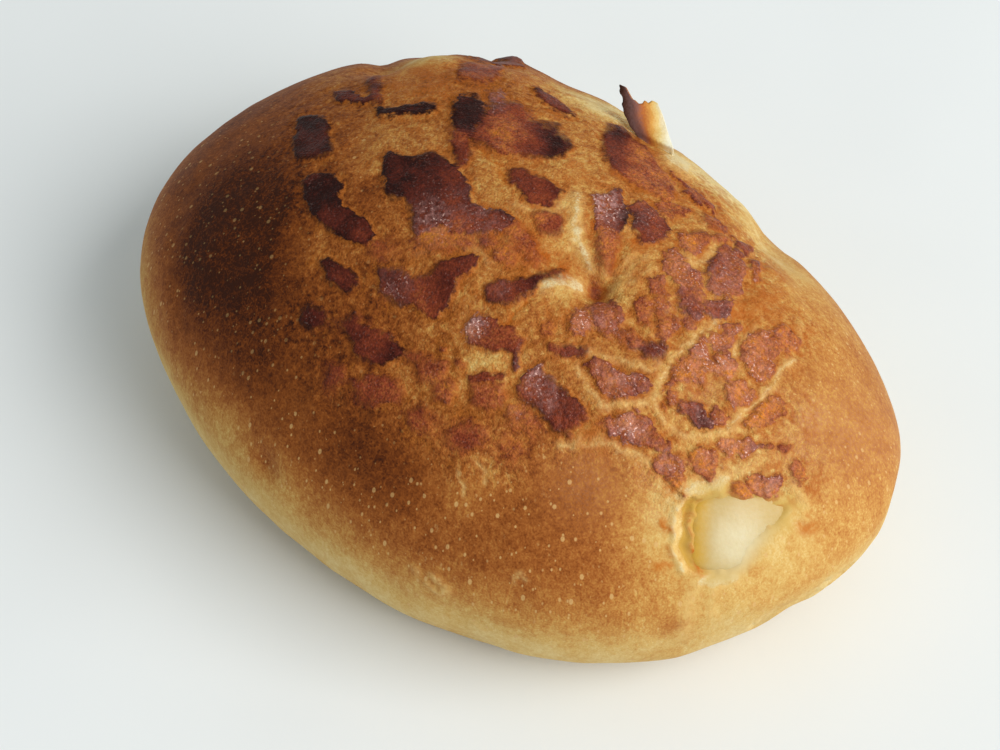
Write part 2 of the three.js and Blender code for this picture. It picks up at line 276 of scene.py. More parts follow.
# plates of rice crust as the photo shows them: tone 0 orange to 1 black, soft edge in mm,
# outline in pixels
crustPlates = {
    "leftSquare": (0.93, 0.2, [
        (297, 118), (301, 114), (322, 116), (330, 126), (333, 150), (318, 158), (300, 160),
        (293, 157), (296, 135)]),
    "leftBoot": (0.92, 0.2, [
        (306, 180), (314, 172), (336, 176), (343, 184), (340, 200), (350, 212), (366, 222),
        (374, 234), (366, 245), (345, 240), (325, 230), (312, 216), (306, 200)]),
    "leftBlush": (0.9, 0.3, [
        (318, 262), (330, 257), (345, 268), (356, 274), (360, 288), (348, 296), (338, 288),
        (326, 280)]),
    "leftLow": (0.78, 0.4, [
        (305, 312), (316, 304), (327, 312), (326, 328), (312, 334), (303, 326)]),
    "leftPatch": (0.7, 0.5, [
        (338, 322), (352, 314), (372, 326), (388, 334), (402, 350), (394, 362), (376, 368),
        (356, 352)]),
    "topRidge": (1.0, 0.15, [
        (374, 106), (400, 108), (437, 110), (437, 118), (405, 119), (378, 115)]),
    "rimStrip": (0.86, 0.15, [
        (330, 91), (345, 90), (360, 96), (378, 91), (383, 95), (376, 101), (358, 103), (332, 97)]),
    "rimDark": (0.66, 0.5, [(368, 80), (380, 78), (383, 92), (380, 104), (370, 100)]),
    "saddle": (0.84, 0.2, [
        (388, 152), (398, 154), (412, 160), (424, 160), (438, 152), (446, 160), (458, 172),
        (468, 186), (472, 202), (486, 212), (505, 214), (516, 224), (505, 231), (480, 236),
        (455, 236), (440, 228), (430, 236), (416, 240), (411, 228), (410, 212), (404, 200),
        (388, 198), (384, 178)]),
    "saddleCrumb": (0.6, 0.5, [(474, 236), (486, 234), (492, 244), (484, 251), (474, 246)]),
    "softLeft": (0.5, 0.9, [(370, 242), (384, 240), (390, 250), (380, 259), (369, 254)]),
    "wedge": (0.7, 0.3, [
        (375, 268), (402, 270), (412, 278), (430, 272), (450, 260), (470, 254), (478, 257),
        (472, 270), (460, 282), (450, 298), (440, 316), (428, 318), (415, 306), (395, 300),
        (382, 292), (380, 280)]),
    "nub": (0.54, 0.3, [
        (460, 326), (468, 318), (480, 314), (492, 316), (498, 326), (514, 328), (524, 338),
        (520, 352), (502, 354), (485, 350), (470, 344)]),
    "bar": (0.75, 0.35, [
        (486, 284), (498, 280), (520, 280), (535, 274), (552, 268), (564, 270), (560, 275),
        (550, 279), (542, 287), (533, 294), (520, 299), (500, 303), (488, 300)]),
    "tailFilm": (0.56, 0.9, [
        (504, 226), (518, 225), (532, 238), (541, 254), (533, 262), (519, 252), (508, 240)]),
    "pitLeaf": (0.5, 0.3, [(593, 278), (598, 275), (603, 281), (604, 290), (599, 290), (594, 284)]),
    "crownKnob": (0.92, 0.25, [
        (452, 104), (462, 99), (474, 100), (484, 108), (484, 120), (476, 130), (470, 140),
        (456, 140), (451, 124)]),
    "knobTail": (0.6, 0.8, [
        (452, 132), (468, 136), (470, 150), (466, 168), (456, 172), (452, 152)]),
    "crownLilac": (0.66, 0.35, [(487, 98), (500, 97), (506, 104), (503, 111), (490, 112)]),
    "crownSheet": (0.62, 0.5, [
        (486, 110), (500, 108), (512, 106), (526, 112), (540, 124), (556, 127), (562, 136),
        (572, 146), (566, 155), (548, 160), (525, 160), (505, 156), (490, 148), (474, 146),
        (472, 132), (484, 120)]),
    "crownTail": (0.66, 0.3, [
        (508, 168), (525, 170), (545, 182), (564, 193), (556, 202), (535, 207), (520, 198),
        (508, 182)]),
    "orangePatch": (0.45, 0.5, [
        (533, 216), (546, 210), (560, 212), (564, 226), (556, 235), (540, 232)]),
    "rimPlate": (0.45, 0.5, [(460, 72), (480, 70), (503, 72), (500, 84), (485, 89), (462, 87)]),
    "rimCurl": (0.6, 0.3, [
        (466, 59), (490, 61), (505, 59), (514, 55), (524, 58), (522, 68), (508, 67), (480, 66)]),
    "farStrip": (0.7, 0.3, [
        (535, 90), (548, 94), (560, 104), (572, 116), (575, 120), (562, 117), (548, 107),
        (538, 99)]),
    "shoulder": (0.55, 0.45, [
        (602, 136), (610, 127), (621, 126), (632, 136), (645, 148), (656, 162), (668, 178),
        (675, 196), (668, 200), (650, 192), (636, 186), (622, 176), (610, 172), (603, 156)]),
    "post": (0.72, 0.2, [
        (592, 200), (596, 192), (606, 196), (614, 188), (622, 186), (624, 200), (629, 212),
        (627, 228), (620, 236), (606, 234), (594, 228), (592, 212)]),
    "postRight": (0.6, 0.25, [
        (628, 206), (648, 203), (655, 214), (670, 220), (672, 232), (658, 240), (644, 244),
        (634, 228)]),
    "lozenge": (0.45, 0.25, [
        (656, 203), (675, 201), (688, 208), (684, 216), (668, 217), (658, 212)]),
    "rimChain": (0.62, 0.15, [
        (670, 174), (692, 188), (706, 199), (718, 206), (714, 212), (700, 204), (686, 194)]),
    "rimChip": (0.55, 0.3, [(703, 214), (726, 221), (725, 230), (712, 227)]),
    "lastChip": (0.55, 0.3, [(730, 233), (745, 239), (756, 246), (749, 251), (738, 245)]),
    "bean": (0.42, 0.2, [
        (677, 240), (684, 232), (700, 231), (711, 238), (706, 249), (692, 253), (681, 249)]),
    "beanTail": (0.35, 0.3, [(711, 236), (722, 234), (730, 240), (722, 244), (712, 242)]),
    "blushTop": (0.4, 0.2, [
        (662, 252), (671, 247), (681, 256), (690, 264), (703, 268), (704, 290), (697, 296),
        (683, 286), (668, 276), (663, 263)]),
    "blushMain": (0.58, 0.2, [
        (680, 288), (698, 282), (705, 296), (704, 318), (694, 321), (682, 312), (678, 298)]),
    "blushLimb": (0.42, 0.2, [(649, 278), (664, 271), (668, 284), (660, 296), (651, 294)]),
    "cellOne": (0.42, 0.2, [(634, 304), (645, 299), (653, 304), (648, 322), (638, 322)]),
    "cellTwo": (0.42, 0.2, [(655, 298), (667, 295), (671, 308), (663, 317), (654, 314)]),
    "cellThree": (0.4, 0.2, [(660, 323), (672, 319), (676, 331), (667, 340), (660, 334)]),
    "cellFour": (0.42, 0.2, [(679, 322), (692, 319), (697, 327), (688, 333), (680, 330)]),
    "blushRight": (0.48, 0.2, [
        (711, 258), (722, 249), (738, 250), (744, 262), (741, 278), (744, 290), (734, 300),
        (722, 296), (710, 290), (709, 272)]),
    "blushFoot": (0.58, 0.2, [
        (707, 300), (722, 298), (733, 306), (728, 318), (714, 321), (706, 314)]),
    "cellFive": (0.4, 0.2, [(720, 324), (731, 321), (742, 326), (738, 334), (726, 333)]),
    "rightStrip": (0.4, 0.2, [(752, 260), (759, 259), (762, 280), (755, 284)]),
    "middlePink": (0.36, 0.2, [
        (567, 318), (577, 309), (588, 306), (590, 322), (582, 335), (572, 337)]),
    "middle": (0.56, 0.2, [
        (588, 306), (598, 299), (614, 300), (620, 312), (620, 328), (608, 334), (594, 330)]),
    "middleTail": (0.4, 0.4, [
        (612, 328), (626, 328), (640, 338), (644, 348), (630, 346), (618, 338)]),
    "tongue": (0.7, 0.3, [(637, 344), (652, 341), (667, 344), (667, 353), (659, 359), (645, 357)]),
    "leaf": (0.42, 0.2, [
        (583, 361), (596, 356), (611, 362), (616, 374), (632, 376), (648, 384), (650, 392),
        (638, 399), (616, 401), (604, 391), (592, 376)]),
    "kite": (0.34, 0.2, [
        (706, 334), (710, 348), (708, 368), (705, 384), (690, 383), (669, 385), (676, 371),
        (690, 353)]),
    "kiteTwo": (0.36, 0.2, [
        (711, 334), (726, 330), (735, 340), (733, 350), (722, 352), (713, 347)]),
    "kiteThree": (0.34, 0.2, [
        (714, 354), (730, 353), (736, 366), (730, 378), (716, 377), (711, 366)]),
    "kiteFoot": (0.36, 0.2, [
        (726, 384), (742, 381), (754, 390), (750, 403), (738, 408), (727, 399)]),
    "kiteWing": (0.34, 0.2, [
        (742, 342), (756, 333), (770, 334), (776, 350), (776, 366), (768, 379), (753, 376),
        (744, 361)]),
    "wingRight": (0.28, 0.4, [
        (772, 330), (784, 326), (797, 338), (794, 350), (782, 354), (776, 344)]),
    "blade": (0.22, 0.2, [
        (743, 424), (756, 413), (774, 397), (787, 402), (786, 416), (768, 427), (750, 429)]),
    "slabEdge": (0.25, 0.3, [(662, 393), (672, 391), (676, 402), (668, 407)]),
    "slab": (0.52, 0.25, [
        (679, 404), (690, 399), (702, 405), (714, 419), (712, 430), (698, 428), (686, 416)]),
    "slabPink": (0.32, 0.25, [(713, 411), (726, 408), (733, 418), (726, 426), (715, 424)]),
    "anvil": (0.52, 0.2, [
        (599, 425), (612, 416), (640, 413), (651, 417), (656, 430), (668, 446), (672, 457),
        (656, 451), (634, 442), (612, 434)]),
    "keystone": (0.66, 0.25, [
        (515, 385), (528, 374), (540, 367), (552, 383), (566, 391), (580, 408), (586, 418),
        (576, 428), (567, 438), (555, 432), (544, 416), (528, 403), (516, 395)]),
    "nugget": (0.36, 0.2, [(716, 445), (732, 437), (748, 440), (752, 448), (742, 457), (724, 456)]),
    "smallBox": (0.45, 0.25, [
        (687, 454), (700, 449), (714, 453), (719, 466), (712, 477), (696, 477), (688, 466)]),
    "anvilTail": (0.45, 0.25, [
        (651, 462), (664, 456), (678, 459), (683, 470), (681, 482), (684, 494), (676, 487),
        (666, 479), (654, 473)]),
    "dash": (0.3, 0.25, [(757, 447), (772, 445), (789, 448), (786, 454), (770, 452)]),
    "notch": (0.3, 0.3, [(793, 464), (802, 464), (804, 476), (799, 486), (793, 478)]),
    "lidTail": (0.1, 0.4, [(729, 485), (742, 483), (748, 490), (754, 498), (744, 497), (734, 492)]),
    "saddleEnd": (0.45, 0.8, [
        (492, 248), (505, 244), (516, 250), (514, 262), (500, 264), (492, 258)]),
    "boxTop": (0.62, 0.25, [
        (467, 376), (484, 373), (504, 377), (505, 384), (486, 384), (468, 384)]),
    "boxFill": (0.45, 0.6, [(468, 384), (504, 385), (501, 404), (484, 408), (470, 405)]),
    "keyLeft": (0.34, 0.6, [(506, 404), (526, 408), (541, 425), (530, 435), (511, 429)]),
    "nubFoot": (0.6, 0.3, [(512, 354), (520, 352), (522, 370), (515, 376)]),
    "stripLow": (0.56, 0.4, [
        (551, 344), (570, 346), (587, 350), (585, 359), (566, 357), (550, 352)]),
    "crumbs": (0.36, 0.4, [(538, 324), (550, 322), (553, 332), (542, 336)]),
    "lowFilm": (0.5, 0.9, [(446, 428), (466, 421), (486, 430), (483, 446), (462, 455), (445, 446)]),
    "lowFilmEnd": (0.4, 0.7, [(494, 446), (510, 443), (522, 450), (514, 460), (498, 458)]),
    "saddleLow": (0.42, 0.8, [
        (414, 236), (440, 228), (462, 236), (472, 248), (450, 253), (430, 251), (416, 246)]),
    "postFoot": (0.52, 0.9, [(594, 220), (622, 226), (618, 250), (608, 268), (599, 260)]),
    "anvilEnd": (0.3, 0.5, [(648, 436), (658, 438), (670, 452), (660, 453), (650, 447)]),
    "patchBox": (0.52, 0.7, [
        (416, 362), (430, 358), (446, 362), (447, 376), (440, 386), (424, 384), (416, 376)]),
    "patchLeft": (0.56, 0.8, [
        (352, 380), (372, 376), (394, 378), (400, 388), (396, 400), (376, 404), (356, 402)]),
    "patchSlip": (0.42, 0.7, [(434, 383), (452, 379), (456, 392), (448, 403), (434, 400)]),
    "patchStrip": (0.55, 0.7, [
        (398, 350), (414, 352), (434, 358), (432, 365), (412, 362), (398, 358)]),
    "patchEdge": (0.62, 0.9, [(330, 364), (344, 362), (346, 380), (336, 390), (328, 384)]),
    "patchLow": (0.5, 1.0, [(402, 412), (420, 408), (436, 418), (430, 432), (412, 430)]),
    "crumbHigh": (0.5, 0.5, [(440, 343), (448, 344), (449, 351), (442, 352)]),
    "crumbLow": (0.5, 0.5, [(455, 360), (463, 360), (464, 367), (456, 368)]),
    "cheeseLid": (0.34, 0.2, [
        (746, 481), (752, 476), (766, 479), (779, 477), (780, 492), (770, 497), (758, 499),
        (748, 494)]),
}
# darker and lighter places within the plates: pixel, reach in pixels, change of tone
toneSpots = [
    ((554, 148), 14, 0.5), ((505, 140), 12, -0.3), ((400, 172), 22, 0.14), ((440, 222), 22, -0.14),
    ((488, 224), 18, -0.22), ((470, 200), 10, 0.12), ((472, 262), 10, 0.06), ((395, 284), 10, 0.08),
    ((612, 140), 12, 0.35), ((500, 290), 10, -0.1), ((460, 265), 8, -0.1), ((655, 182), 16, -0.3),
    ((622, 220), 8, 0.25), ((606, 230), 9, -0.02), ((640, 222), 12, 0.1), ((572, 420), 14, -0.18),
    ((532, 382), 12, -0.1), ((622, 165), 10, 0.2), ((440, 300), 10, 0.12), ((606, 330), 10, -0.12),
    ((636, 392), 10, 0.15), ((668, 466), 8, 0.15), ((325, 190), 14, 0.12), ((350, 232), 14, -0.12),
    ((700, 420), 8, 0.12), ((680, 490), 7, -0.5), ((605, 254), 8, 0.02), ((692, 452), 6, -0.2),
    ((712, 472), 6, -0.2), ((775, 400), 14, -0.1), ((650, 300), 8, -0.25), ((640, 160), 8, -0.2),
]
# where a thin film browns the dough to amber, with a few spots painting shade; where it blushes;
# and where the crust shines, with a stronger coat and a painted sheen and glints: pixel, reach in
# pixels, strength
amberSpots = [
    # the spots at (619, 261) and (621, 269) paint shade into the fold beside the strap, and (766,
    # 503) paints the shade under the lid
    ((500, 234), 14, 0.6), ((525, 248), 18, 1.0), ((545, 252), 10, 1.0), ((619, 261), 6, 1.0),
    ((621, 269), 5, 0.7), ((577, 264), 7, 0.6), ((560, 264), 12, 0.7), ((436, 246), 16, 0.5),
    ((470, 266), 10, 0.4), ((562, 272), 8, 0.8), ((606, 248), 8, 0.7), ((745, 318), 14, 0.8),
    ((505, 256), 8, 0.8), ((600, 286), 5, 0.9), ((775, 270), 16, 0.5), ((768, 305), 20, 0.55),
    ((790, 330), 16, 0.4), ((662, 440), 10, 0.4), ((672, 488), 10, 0.6), ((766, 503), 10, 0.6),
    ((640, 243), 6, 1.0), ((395, 84), 12, 0.5), ((425, 92), 16, 0.8), ((450, 90), 14, 0.9),
    ((480, 88), 16, 0.8), ((520, 84), 12, 0.5), ((640, 180), 18, 0.5), ((690, 200), 14, 0.5),
    ((720, 215), 10, 0.5), ((745, 240), 8, 0.5), ((652, 158), 8, 0.7), ((480, 385), 14, 0.35),
    ((500, 400), 12, 0.4), ((460, 430), 14, 0.35), ((385, 250), 12, 0.35), ((330, 330), 14, 0.3),
    ((812, 475), 9, 0.5), ((806, 526), 7, 0.6), ((585, 430), 9, 0.6), ((590, 226), 6, 0.9),
    ((586, 212), 5, 0.5),
]
blushSpots = [
    ((855, 430), 42, 0.5), ((812, 418), 18, 0.7), ((800, 452), 22, 0.5), ((780, 410), 14, 0.4),
    ((700, 392), 16, 0.35), ((590, 480), 26, 0.3), ((650, 480), 14, 0.35), ((655, 510), 12, 0.35),
    ((740, 470), 16, 0.3),
]
# where the coat's gloss is stronger and a sheen and glints are painted into the plates' colour
shineSpots = [
    ((432, 222), 14, 0.9), ((480, 215), 22, 0.4), ((603, 204), 12, 2.0), ((602, 242), 9, 0.3),
    ((612, 222), 8, 0.7), ((582, 320), 10, 1.0), ((500, 288), 8, 0.3), ((646, 218), 12, 0.3),
    ((470, 324), 9, 2.2), ((546, 396), 10, 0.7), ((515, 410), 8, 0.5), ((537, 376), 11, 1.2),
    ((628, 426), 14, 1.1), ((640, 431), 8, 0.9), ((600, 318), 20, 0.5), ((684, 270), 20, 0.8),
    ((722, 284), 24, 0.7), ((678, 308), 14, 0.5), ((725, 365), 45, 0.75), ((620, 378), 22, 0.7),
    ((668, 464), 14, 0.7), ((735, 448), 22, 0.7), ((768, 490), 14, 0.8), ((496, 104), 8, 0.7),
    ((395, 282), 14, 0.3), ((700, 462), 12, 0.4), ((860, 430), 45, 0.4),
]


# the strongest of some spots at each pixel
def strongest(pixels, spots):
    fields = [strength * fade(pixels, pixel, reach) for pixel, reach, strength in spots]
    return np.max(fields, axis=0)


# distance in pixels to the nearest of some straight edges
def edgeGap(pixels, starts, edges):
    way = pixels[:, None] - starts
    t = np.clip((way * edges).sum(-1) / (edges**2).sum(-1), 0, 1)
    return np.linalg.norm(way - t[..., None] * edges, axis=-1).min(1)


# distance in pixels from an outline, above 0 inside it
def insideDistance(pixels, outline):
    starts = np.array(outline, float)
    edges = np.roll(starts, -1, 0) - starts
    ends = starts + edges
    gap = edgeGap(pixels, starts, edges)
    x, y = pixels[:, :1], pixels[:, 1:]
    spans = (starts[:, 1] > y) != (ends[:, 1] > y)
    fall = np.where(edges[:, 1] == 0, 1e-9, edges[:, 1])
    crossing = starts[:, 0] + (y - starts[:, 1]) * edges[:, 0] / fall
    inside = (spans & (x < crossing)).sum(1) % 2 == 1
    return np.where(inside, gap, -gap)


# which pixels lie in the box round some corners
def inBox(pixels, corners, margin):
    return ((pixels > corners.min(0) - margin) & (pixels < corners.max(0) + margin)).all(1)


# the crust goes on over the back, in plates by a seeded rule: pixels of the view from behind
backCrust = {
    "seed": 5, "rows": 6, "columns": 9, "from": (270, 150), "to": (800, 440), "stray": 0.3,
    "size": (24, 40), "corners": 11, "slim": (0.45, 0.8), "ragged": (0.65, 1.1),
    "tone": (0.3, 0.8), "soft": 0.4,
}


def backPlates():
    draw = np.random.default_rng(backCrust["seed"])
    plates = {}
    (left, top), (right, bottom) = backCrust["from"], backCrust["to"]
    rows, columns, corners = backCrust["rows"], backCrust["columns"], backCrust["corners"]
    stray = backCrust["stray"]
    turns = np.arange(corners) * 2 * math.pi / corners
    for row in range(rows):
        for column in range(columns):
            shifted = column + 0.5 * (row % 2) + draw.uniform(-stray, stray)
            x = left + (right - left) * shifted / columns
            y = top + (bottom - top) * (row + draw.uniform(-stray, stray)) / rows
            size = draw.uniform(*backCrust["size"])
            slant, stretch = draw.uniform(0, math.pi), draw.uniform(*backCrust["slim"])
            reach = size * draw.uniform(*backCrust["ragged"], corners)
            u, v = reach * np.cos(turns), reach * stretch * np.sin(turns)
            outline = np.stack([x + u * math.cos(slant) - v * math.sin(slant),
                                y + u * math.sin(slant) + v * math.cos(slant)], -1)
            tone = draw.uniform(*backCrust["tone"])
            plates[f"back{row}{column}"] = (tone, backCrust["soft"], outline)
    return plates


filmReach = 8.0  # mm from the plates over which the crust is felt
# how the plates' outlines wander: size in mm, seeds, amount in pixels
raggedness = [(1.6, (11, 12), 2.6), (4.0, (13, 14), 3.0), (0.8, (24, 25), 2.2)]
# what a plate's softness is multiplied by: all over, by noise, and more where its edge melts
softness = {"plain": 2.0, "stir": 1.5, "melting": 3.2}


# for each point: distance into the nearest plate in mm, its tone and edge softness,
# and the pixel after wandering
def plateField(points, sight, plates):
    ragged = []
    for size, seeds, amount in raggedness:
        ragged.append(wander(points, size, seeds) * amount)
    pixels = pixelsOf(sight, points) + sum(ragged)
    # where no plate is near
    best, tone, soft = [np.full(len(points), value) for value in (-filmReach, 0.5, 0.4)]
    for plateTone, plateSoft, outline in plates.values():
        index = np.flatnonzero(inBox(pixels, np.array(outline, float), filmReach * pixelsPerMm))
        depth = insideDistance(pixels[index], outline) / pixelsPerMm
        better = depth > best[index]
        index, depth = index[better], depth[better]
        best[index], tone[index], soft[index] = depth, plateTone, plateSoft
    stirred = softness["plain"] + softness["stir"] * lumps(points, 3.5, 15)
    melting = softness["melting"] * soft * smooth(0.15, 0.6, lumps(points, 5, 26))
    return best, tone, soft * stirred + melting, pixels


# how far the dough is baked, 0 cream to 1 black-brown: change, and the mm between which it sets in
evenBake = {
    "foot": (0.09, {}),
    "sides": (0.56, {"level": (13, 32)}),
    "crown": (-0.08, {"level": (40, 49)}),
    "darkEnd": (0.14, {"across": (0, -30), "level": (22, 32)}),
    "burstEnd": (-0.2, {"across": (14, 44), "level": (18, 32)}),
    "back": (-0.1, {"along": (-2, 18), "level": (24, 34)}),
}
# and in places: pixel, reach in mm, change
bakeSpots = {
    "leftDark": ((230, 235), 9, 0.33),
    "leftDarkTop": ((270, 200), 7, 0.06),
    "leftMid": ((285, 345), 8, 0.13),
    "frontLeft": ((345, 435), 6, 0.14),
    "frontMid": ((400, 480), 4, 0.12),
    "frontMidPale": ((456, 484), 5, -0.18),
    "frontCentre": ((545, 535), 8, 0.1),
    "frontDusk": ((390, 458), 7, 0.1),
    "frontRight": ((585, 585), 6, 0.1),
    "frontLow": ((430, 560), 5, 0.07),
    "wedgeFoot": ((395, 325), 5, 0.12),
    "patchDusk": ((348, 342), 5, 0.02),
    "bootGold": ((320, 250), 2.5, -0.2),
    "leftGold": ((289, 242), 3, -0.1),
    "saddleDusk": ((370, 190), 2.2, 0.2),
    "topDusk": ((352, 136), 2.5, 0.1),
    "crownGold": ((400, 96), 3, -0.16),
    "creaseGold": ((574, 211), 1.3, -0.25),
    "barGold": ((560, 288), 1.6, -0.22),
    "leftEdge": ((160, 255), 6, -0.12),
    "leftDentSpot": ((265, 465), 1.6, 0.25),
    "lowLeftPale": ((225, 420), 4, -0.15),
    "lowLeft": ((280, 470), 5, -0.1),
    "burstPale": ((728, 520), 6, -0.28),
    "burstLeft": ((665, 540), 4, -0.24),
    "burstCorner": ((668, 494), 3, -0.1),
    "burstBelow": ((715, 582), 5, -0.06),
    "skinPale": ((780, 522), 4, -0.19),
    "rightEnd": ((865, 440), 9, 0.07),
    "rightLow": ((840, 545), 6, 0.06),
    "underBurst": ((820, 540), 6, -0.14),
    "rayDark": ((673, 624), 1.6, 0.22),
    "rayPale": ((692, 612), 2.0, -0.1),
    "rimLow": ((655, 654), 4, 0.14),
    "pinchLow": ((611, 302), 1.6, -0.32),
    "pinchLeft": ((582, 301), 1.8, -0.14),
    "creaseFoot": ((560, 235), 1.6, -0.12),
    "farGold": ((690, 215), 2, -0.15),
    "rightTop": ((862, 368), 4, 0.07),
    # this spot and the far and back rim spots below are paler partly from the dough's own colour
    # and partly as painted light on the far rim
    "rightRimPale": ((800, 270), 6, -0.12),
    "rightGold": ((800, 350), 6, 0.1),
    "farRimPale": ((745, 200), 6, -0.36),
    "leftRim": ((340, 78), 5, -0.14),
    "backRimPale": ((530, 80), 5, -0.12),
    "flakeFootPale": ((680, 160), 3, -0.3),
    "yellowBump": ((425, 64), 4.5, -0.6),
    "goldTop": ((374, 142), 7, -0.22),
    "goldGap": ((500, 185), 5, -0.08),
    "goldUnderWedge": ((432, 345), 5, -0.12),
    # the far rim paler still: partly its own colour, partly painted light
    "farRimOne": ((556, 84), 4, -0.08),
    "farRimTwo": ((604, 108), 5, -0.62),
    "farRimThree": ((640, 124), 4, -0.3),
    "farRimFour": ((705, 175), 5, -0.4),
    "farRimFive": ((772, 238), 5, -0.3),
    "goldMid": ((560, 225), 8, -0.07),
    "goldPinch": ((580, 258), 4, -0.1),
    "goldLow": ((490, 365), 3, -0.26),
    "goldBox": ((404, 390), 2.5, -0.14),
    "postPale": ((604, 270), 1.6, -0.12),
    "goldRight": ((690, 255), 6, -0.06),
    "kiteGap": ((656, 400), 3, -0.08),
    "kiteGold": ((720, 350), 9, -0.08),
    "postGold": ((648, 258), 3, -0.1),
}


def bakeField(points):
    places = dict(zip(("across", "along", "level"), points.T))
    bake = np.zeros(len(points))
    for change, ranges in evenBake.values():
        for way, limits in ranges.items():
            change = change * smooth(*limits, places[way])
        bake += change
    for pixel, reach, change in bakeSpots.values():
        bake += change * fade(points, seenPoints(photoSight, [pixel])[0], reach)
    return np.clip(bake, 0, 1)


# veins and creases of stretched dough: pixels of the line, half width and rise in mm,
# paleness (below 0 rusty)
crackLines = {
    "kiteTop": ([(655, 388), (668, 370), (682, 352), (700, 334), (718, 322)], 0.42, 0.12, 0.85),
    "kiteInner": ([(710, 334), (712, 350), (710, 372), (720, 384), (728, 396)], 0.35, 0.1, 0.25),
    "kiteCross": ([(712, 362), (726, 362), (738, 366)], 0.35, 0.1, 0.25),
    "wingTop": ([(734, 366), (738, 347), (746, 336), (756, 328)], 0.38, 0.1, 0.8),
    "bladeTop": (
        [(728, 428), (742, 414), (760, 402), (774, 386), (780, 372), (792, 358)], 0.42, 0.12, 0.85),
    "wingSide": ([(798, 340), (800, 322)], 0.4, 0.15, 0.35),
    "slabFoot": (
        [(652, 400), (664, 416), (676, 432), (698, 438), (720, 434), (738, 428)], 0.5, 0.1, 0.65),
    "anvilFoot": ([(560, 446), (590, 440), (612, 442), (634, 452), (648, 462)], 0.5, 0.1, 0.65),
    "pinchCrease": ([(577, 198), (575, 212), (576, 230), (581, 246), (589, 264)], 0.7, 0.35, 1.05),
    "pinchFold": ([(600, 286), (618, 274), (640, 256)], 0.6, -0.35, 0.1),
    # its rusty colour is painted shade in the fold beside the strap
    "pinchFoldTwo": ([(606, 280), (616, 262), (626, 246)], 0.55, -0.4, -0.5),
    "strap": ([(602, 236), (604, 256), (603, 274)], 1.0, 0.45, 0.15),
    "pinchFoldLow": ([(606, 294), (630, 282), (652, 270)], 0.5, 0.3, 0.25),
    "barFoot": ([(549, 287), (556, 282), (566, 280), (578, 284)], 0.9, 0.2, 1.7),
    "pinchLineOne": ([(610, 288), (628, 272), (646, 256)], 0.3, 0.15, 0.4),
    "pinchLineTwo": ([(612, 276), (626, 262), (640, 250)], 0.3, 0.15, 0.35),
    "pinchPit": ([(597, 282), (601, 290)], 0.7, -0.2, -0.6),
    "crownFoot": ([(512, 206), (540, 212), (562, 204), (570, 196)], 0.5, 0.1, 0.5),
    "saddleFoot": ([(420, 252), (450, 246), (476, 252), (490, 262)], 0.5, 0.15, 0.3),
    "leafFoot": ([(578, 368), (588, 388), (602, 406), (640, 406), (656, 396)], 0.45, 0.1, 0.65),
    "leafTop": ([(560, 346), (590, 352), (620, 362), (650, 370), (664, 364)], 0.45, 0.1, 0.6),
    "beanFoot": ([(684, 254), (694, 260), (708, 256), (716, 248)], 0.4, 0.1, 0.7),
    "blushGap": ([(708, 300), (706, 284), (704, 266)], 0.3, -0.15, 0.1),
    "flakeSeam": ([(666, 150), (674, 160), (684, 167)], 1.0, 0.1, 1.3),
    "lipTop": ([(685, 497), (681, 504), (677, 510)], 0.5, 0.4, 0.95),
    "lipMiddle": ([(674, 517), (672, 530), (672, 540)], 0.5, 0.45, 0.95),
    "lipLow": ([(671, 548), (675, 560), (684, 571)], 0.55, 0.4, 0.95),
    "burstTop": ([(689, 490), (700, 486), (712, 482), (722, 481)], 1.1, 0.3, 1.3),
    "burstFoot": ([(704, 578), (716, 579), (728, 576)], 1.2, 0.2, 1.4),
    "tearTop": ([(695, 505), (697, 513)], 0.5, 0.35, 0.7),
    "tear": ([(693, 514), (690, 526), (692, 536), (691, 546)], 0.55, 0.45, -0.8),
    "tearLow": ([(693, 550), (697, 560), (700, 568)], 0.65, 0.3, -1.0),
    "skinTip": ([(782, 516), (789, 512)], 0.7, 0.1, 1.1),
    "skinRust": ([(797, 520), (804, 526), (811, 526)], 0.9, -0.15, -0.5),
    "crownLine": ([(481, 150), (490, 160), (500, 172), (508, 184)], 0.45, -0.1, -0.8),
    "lidGap": ([(792, 474), (795, 490), (800, 504)], 0.6, 0.1, 0.6),
    "footFold": ([(856, 566), (824, 588), (790, 606), (752, 626)], 0.5, -0.5, 0.0),
    "wrinkleOne": ([(424, 584), (436, 591), (447, 594)], 0.42, 0.3, 0.7),
    "wrinkleTwo": ([(431, 574), (440, 582), (446, 588)], 0.42, 0.25, 0.6),
    "wrinkleThree": ([(410, 566), (416, 576)], 0.42, 0.2, 0.5),
    "crumbOne": ([(663, 520), (668, 529)], 0.75, 0.1, -0.9),
    "crumbTwo": ([(664, 547), (668, 553)], 0.5, 0.05, -0.6),
    "crumbThree": ([(658, 567), (667, 565)], 0.6, 0.1, -0.7),
    "rayOne": ([(696, 584), (690, 600), (688, 618), (684, 632)], 1.1, 0.1, 0.5),
    "rayTwo": ([(714, 590), (711, 602), (712, 612)], 0.9, 0.1, 0.45),
    "scratchOne": ([(459, 470), (464, 480), (466, 494)], 0.2, -0.12, 0.75),
    "scratchTwo": ([(476, 461), (483, 470), (486, 482)], 0.2, -0.12, 0.7),
    "wrinkleFour": ([(470, 628), (484, 631)], 0.3, 0.15, 0.7),
    "wrinkleFive": ([(514, 580), (520, 571), (526, 578)], 0.3, 0.15, 0.6),
    "nubCrease": ([(506, 328), (515, 312), (528, 300)], 0.3, -0.25, -0.8),
    "lidEnd": ([(790, 486), (800, 496), (806, 504)], 0.4, 0.15, 0.45),
}


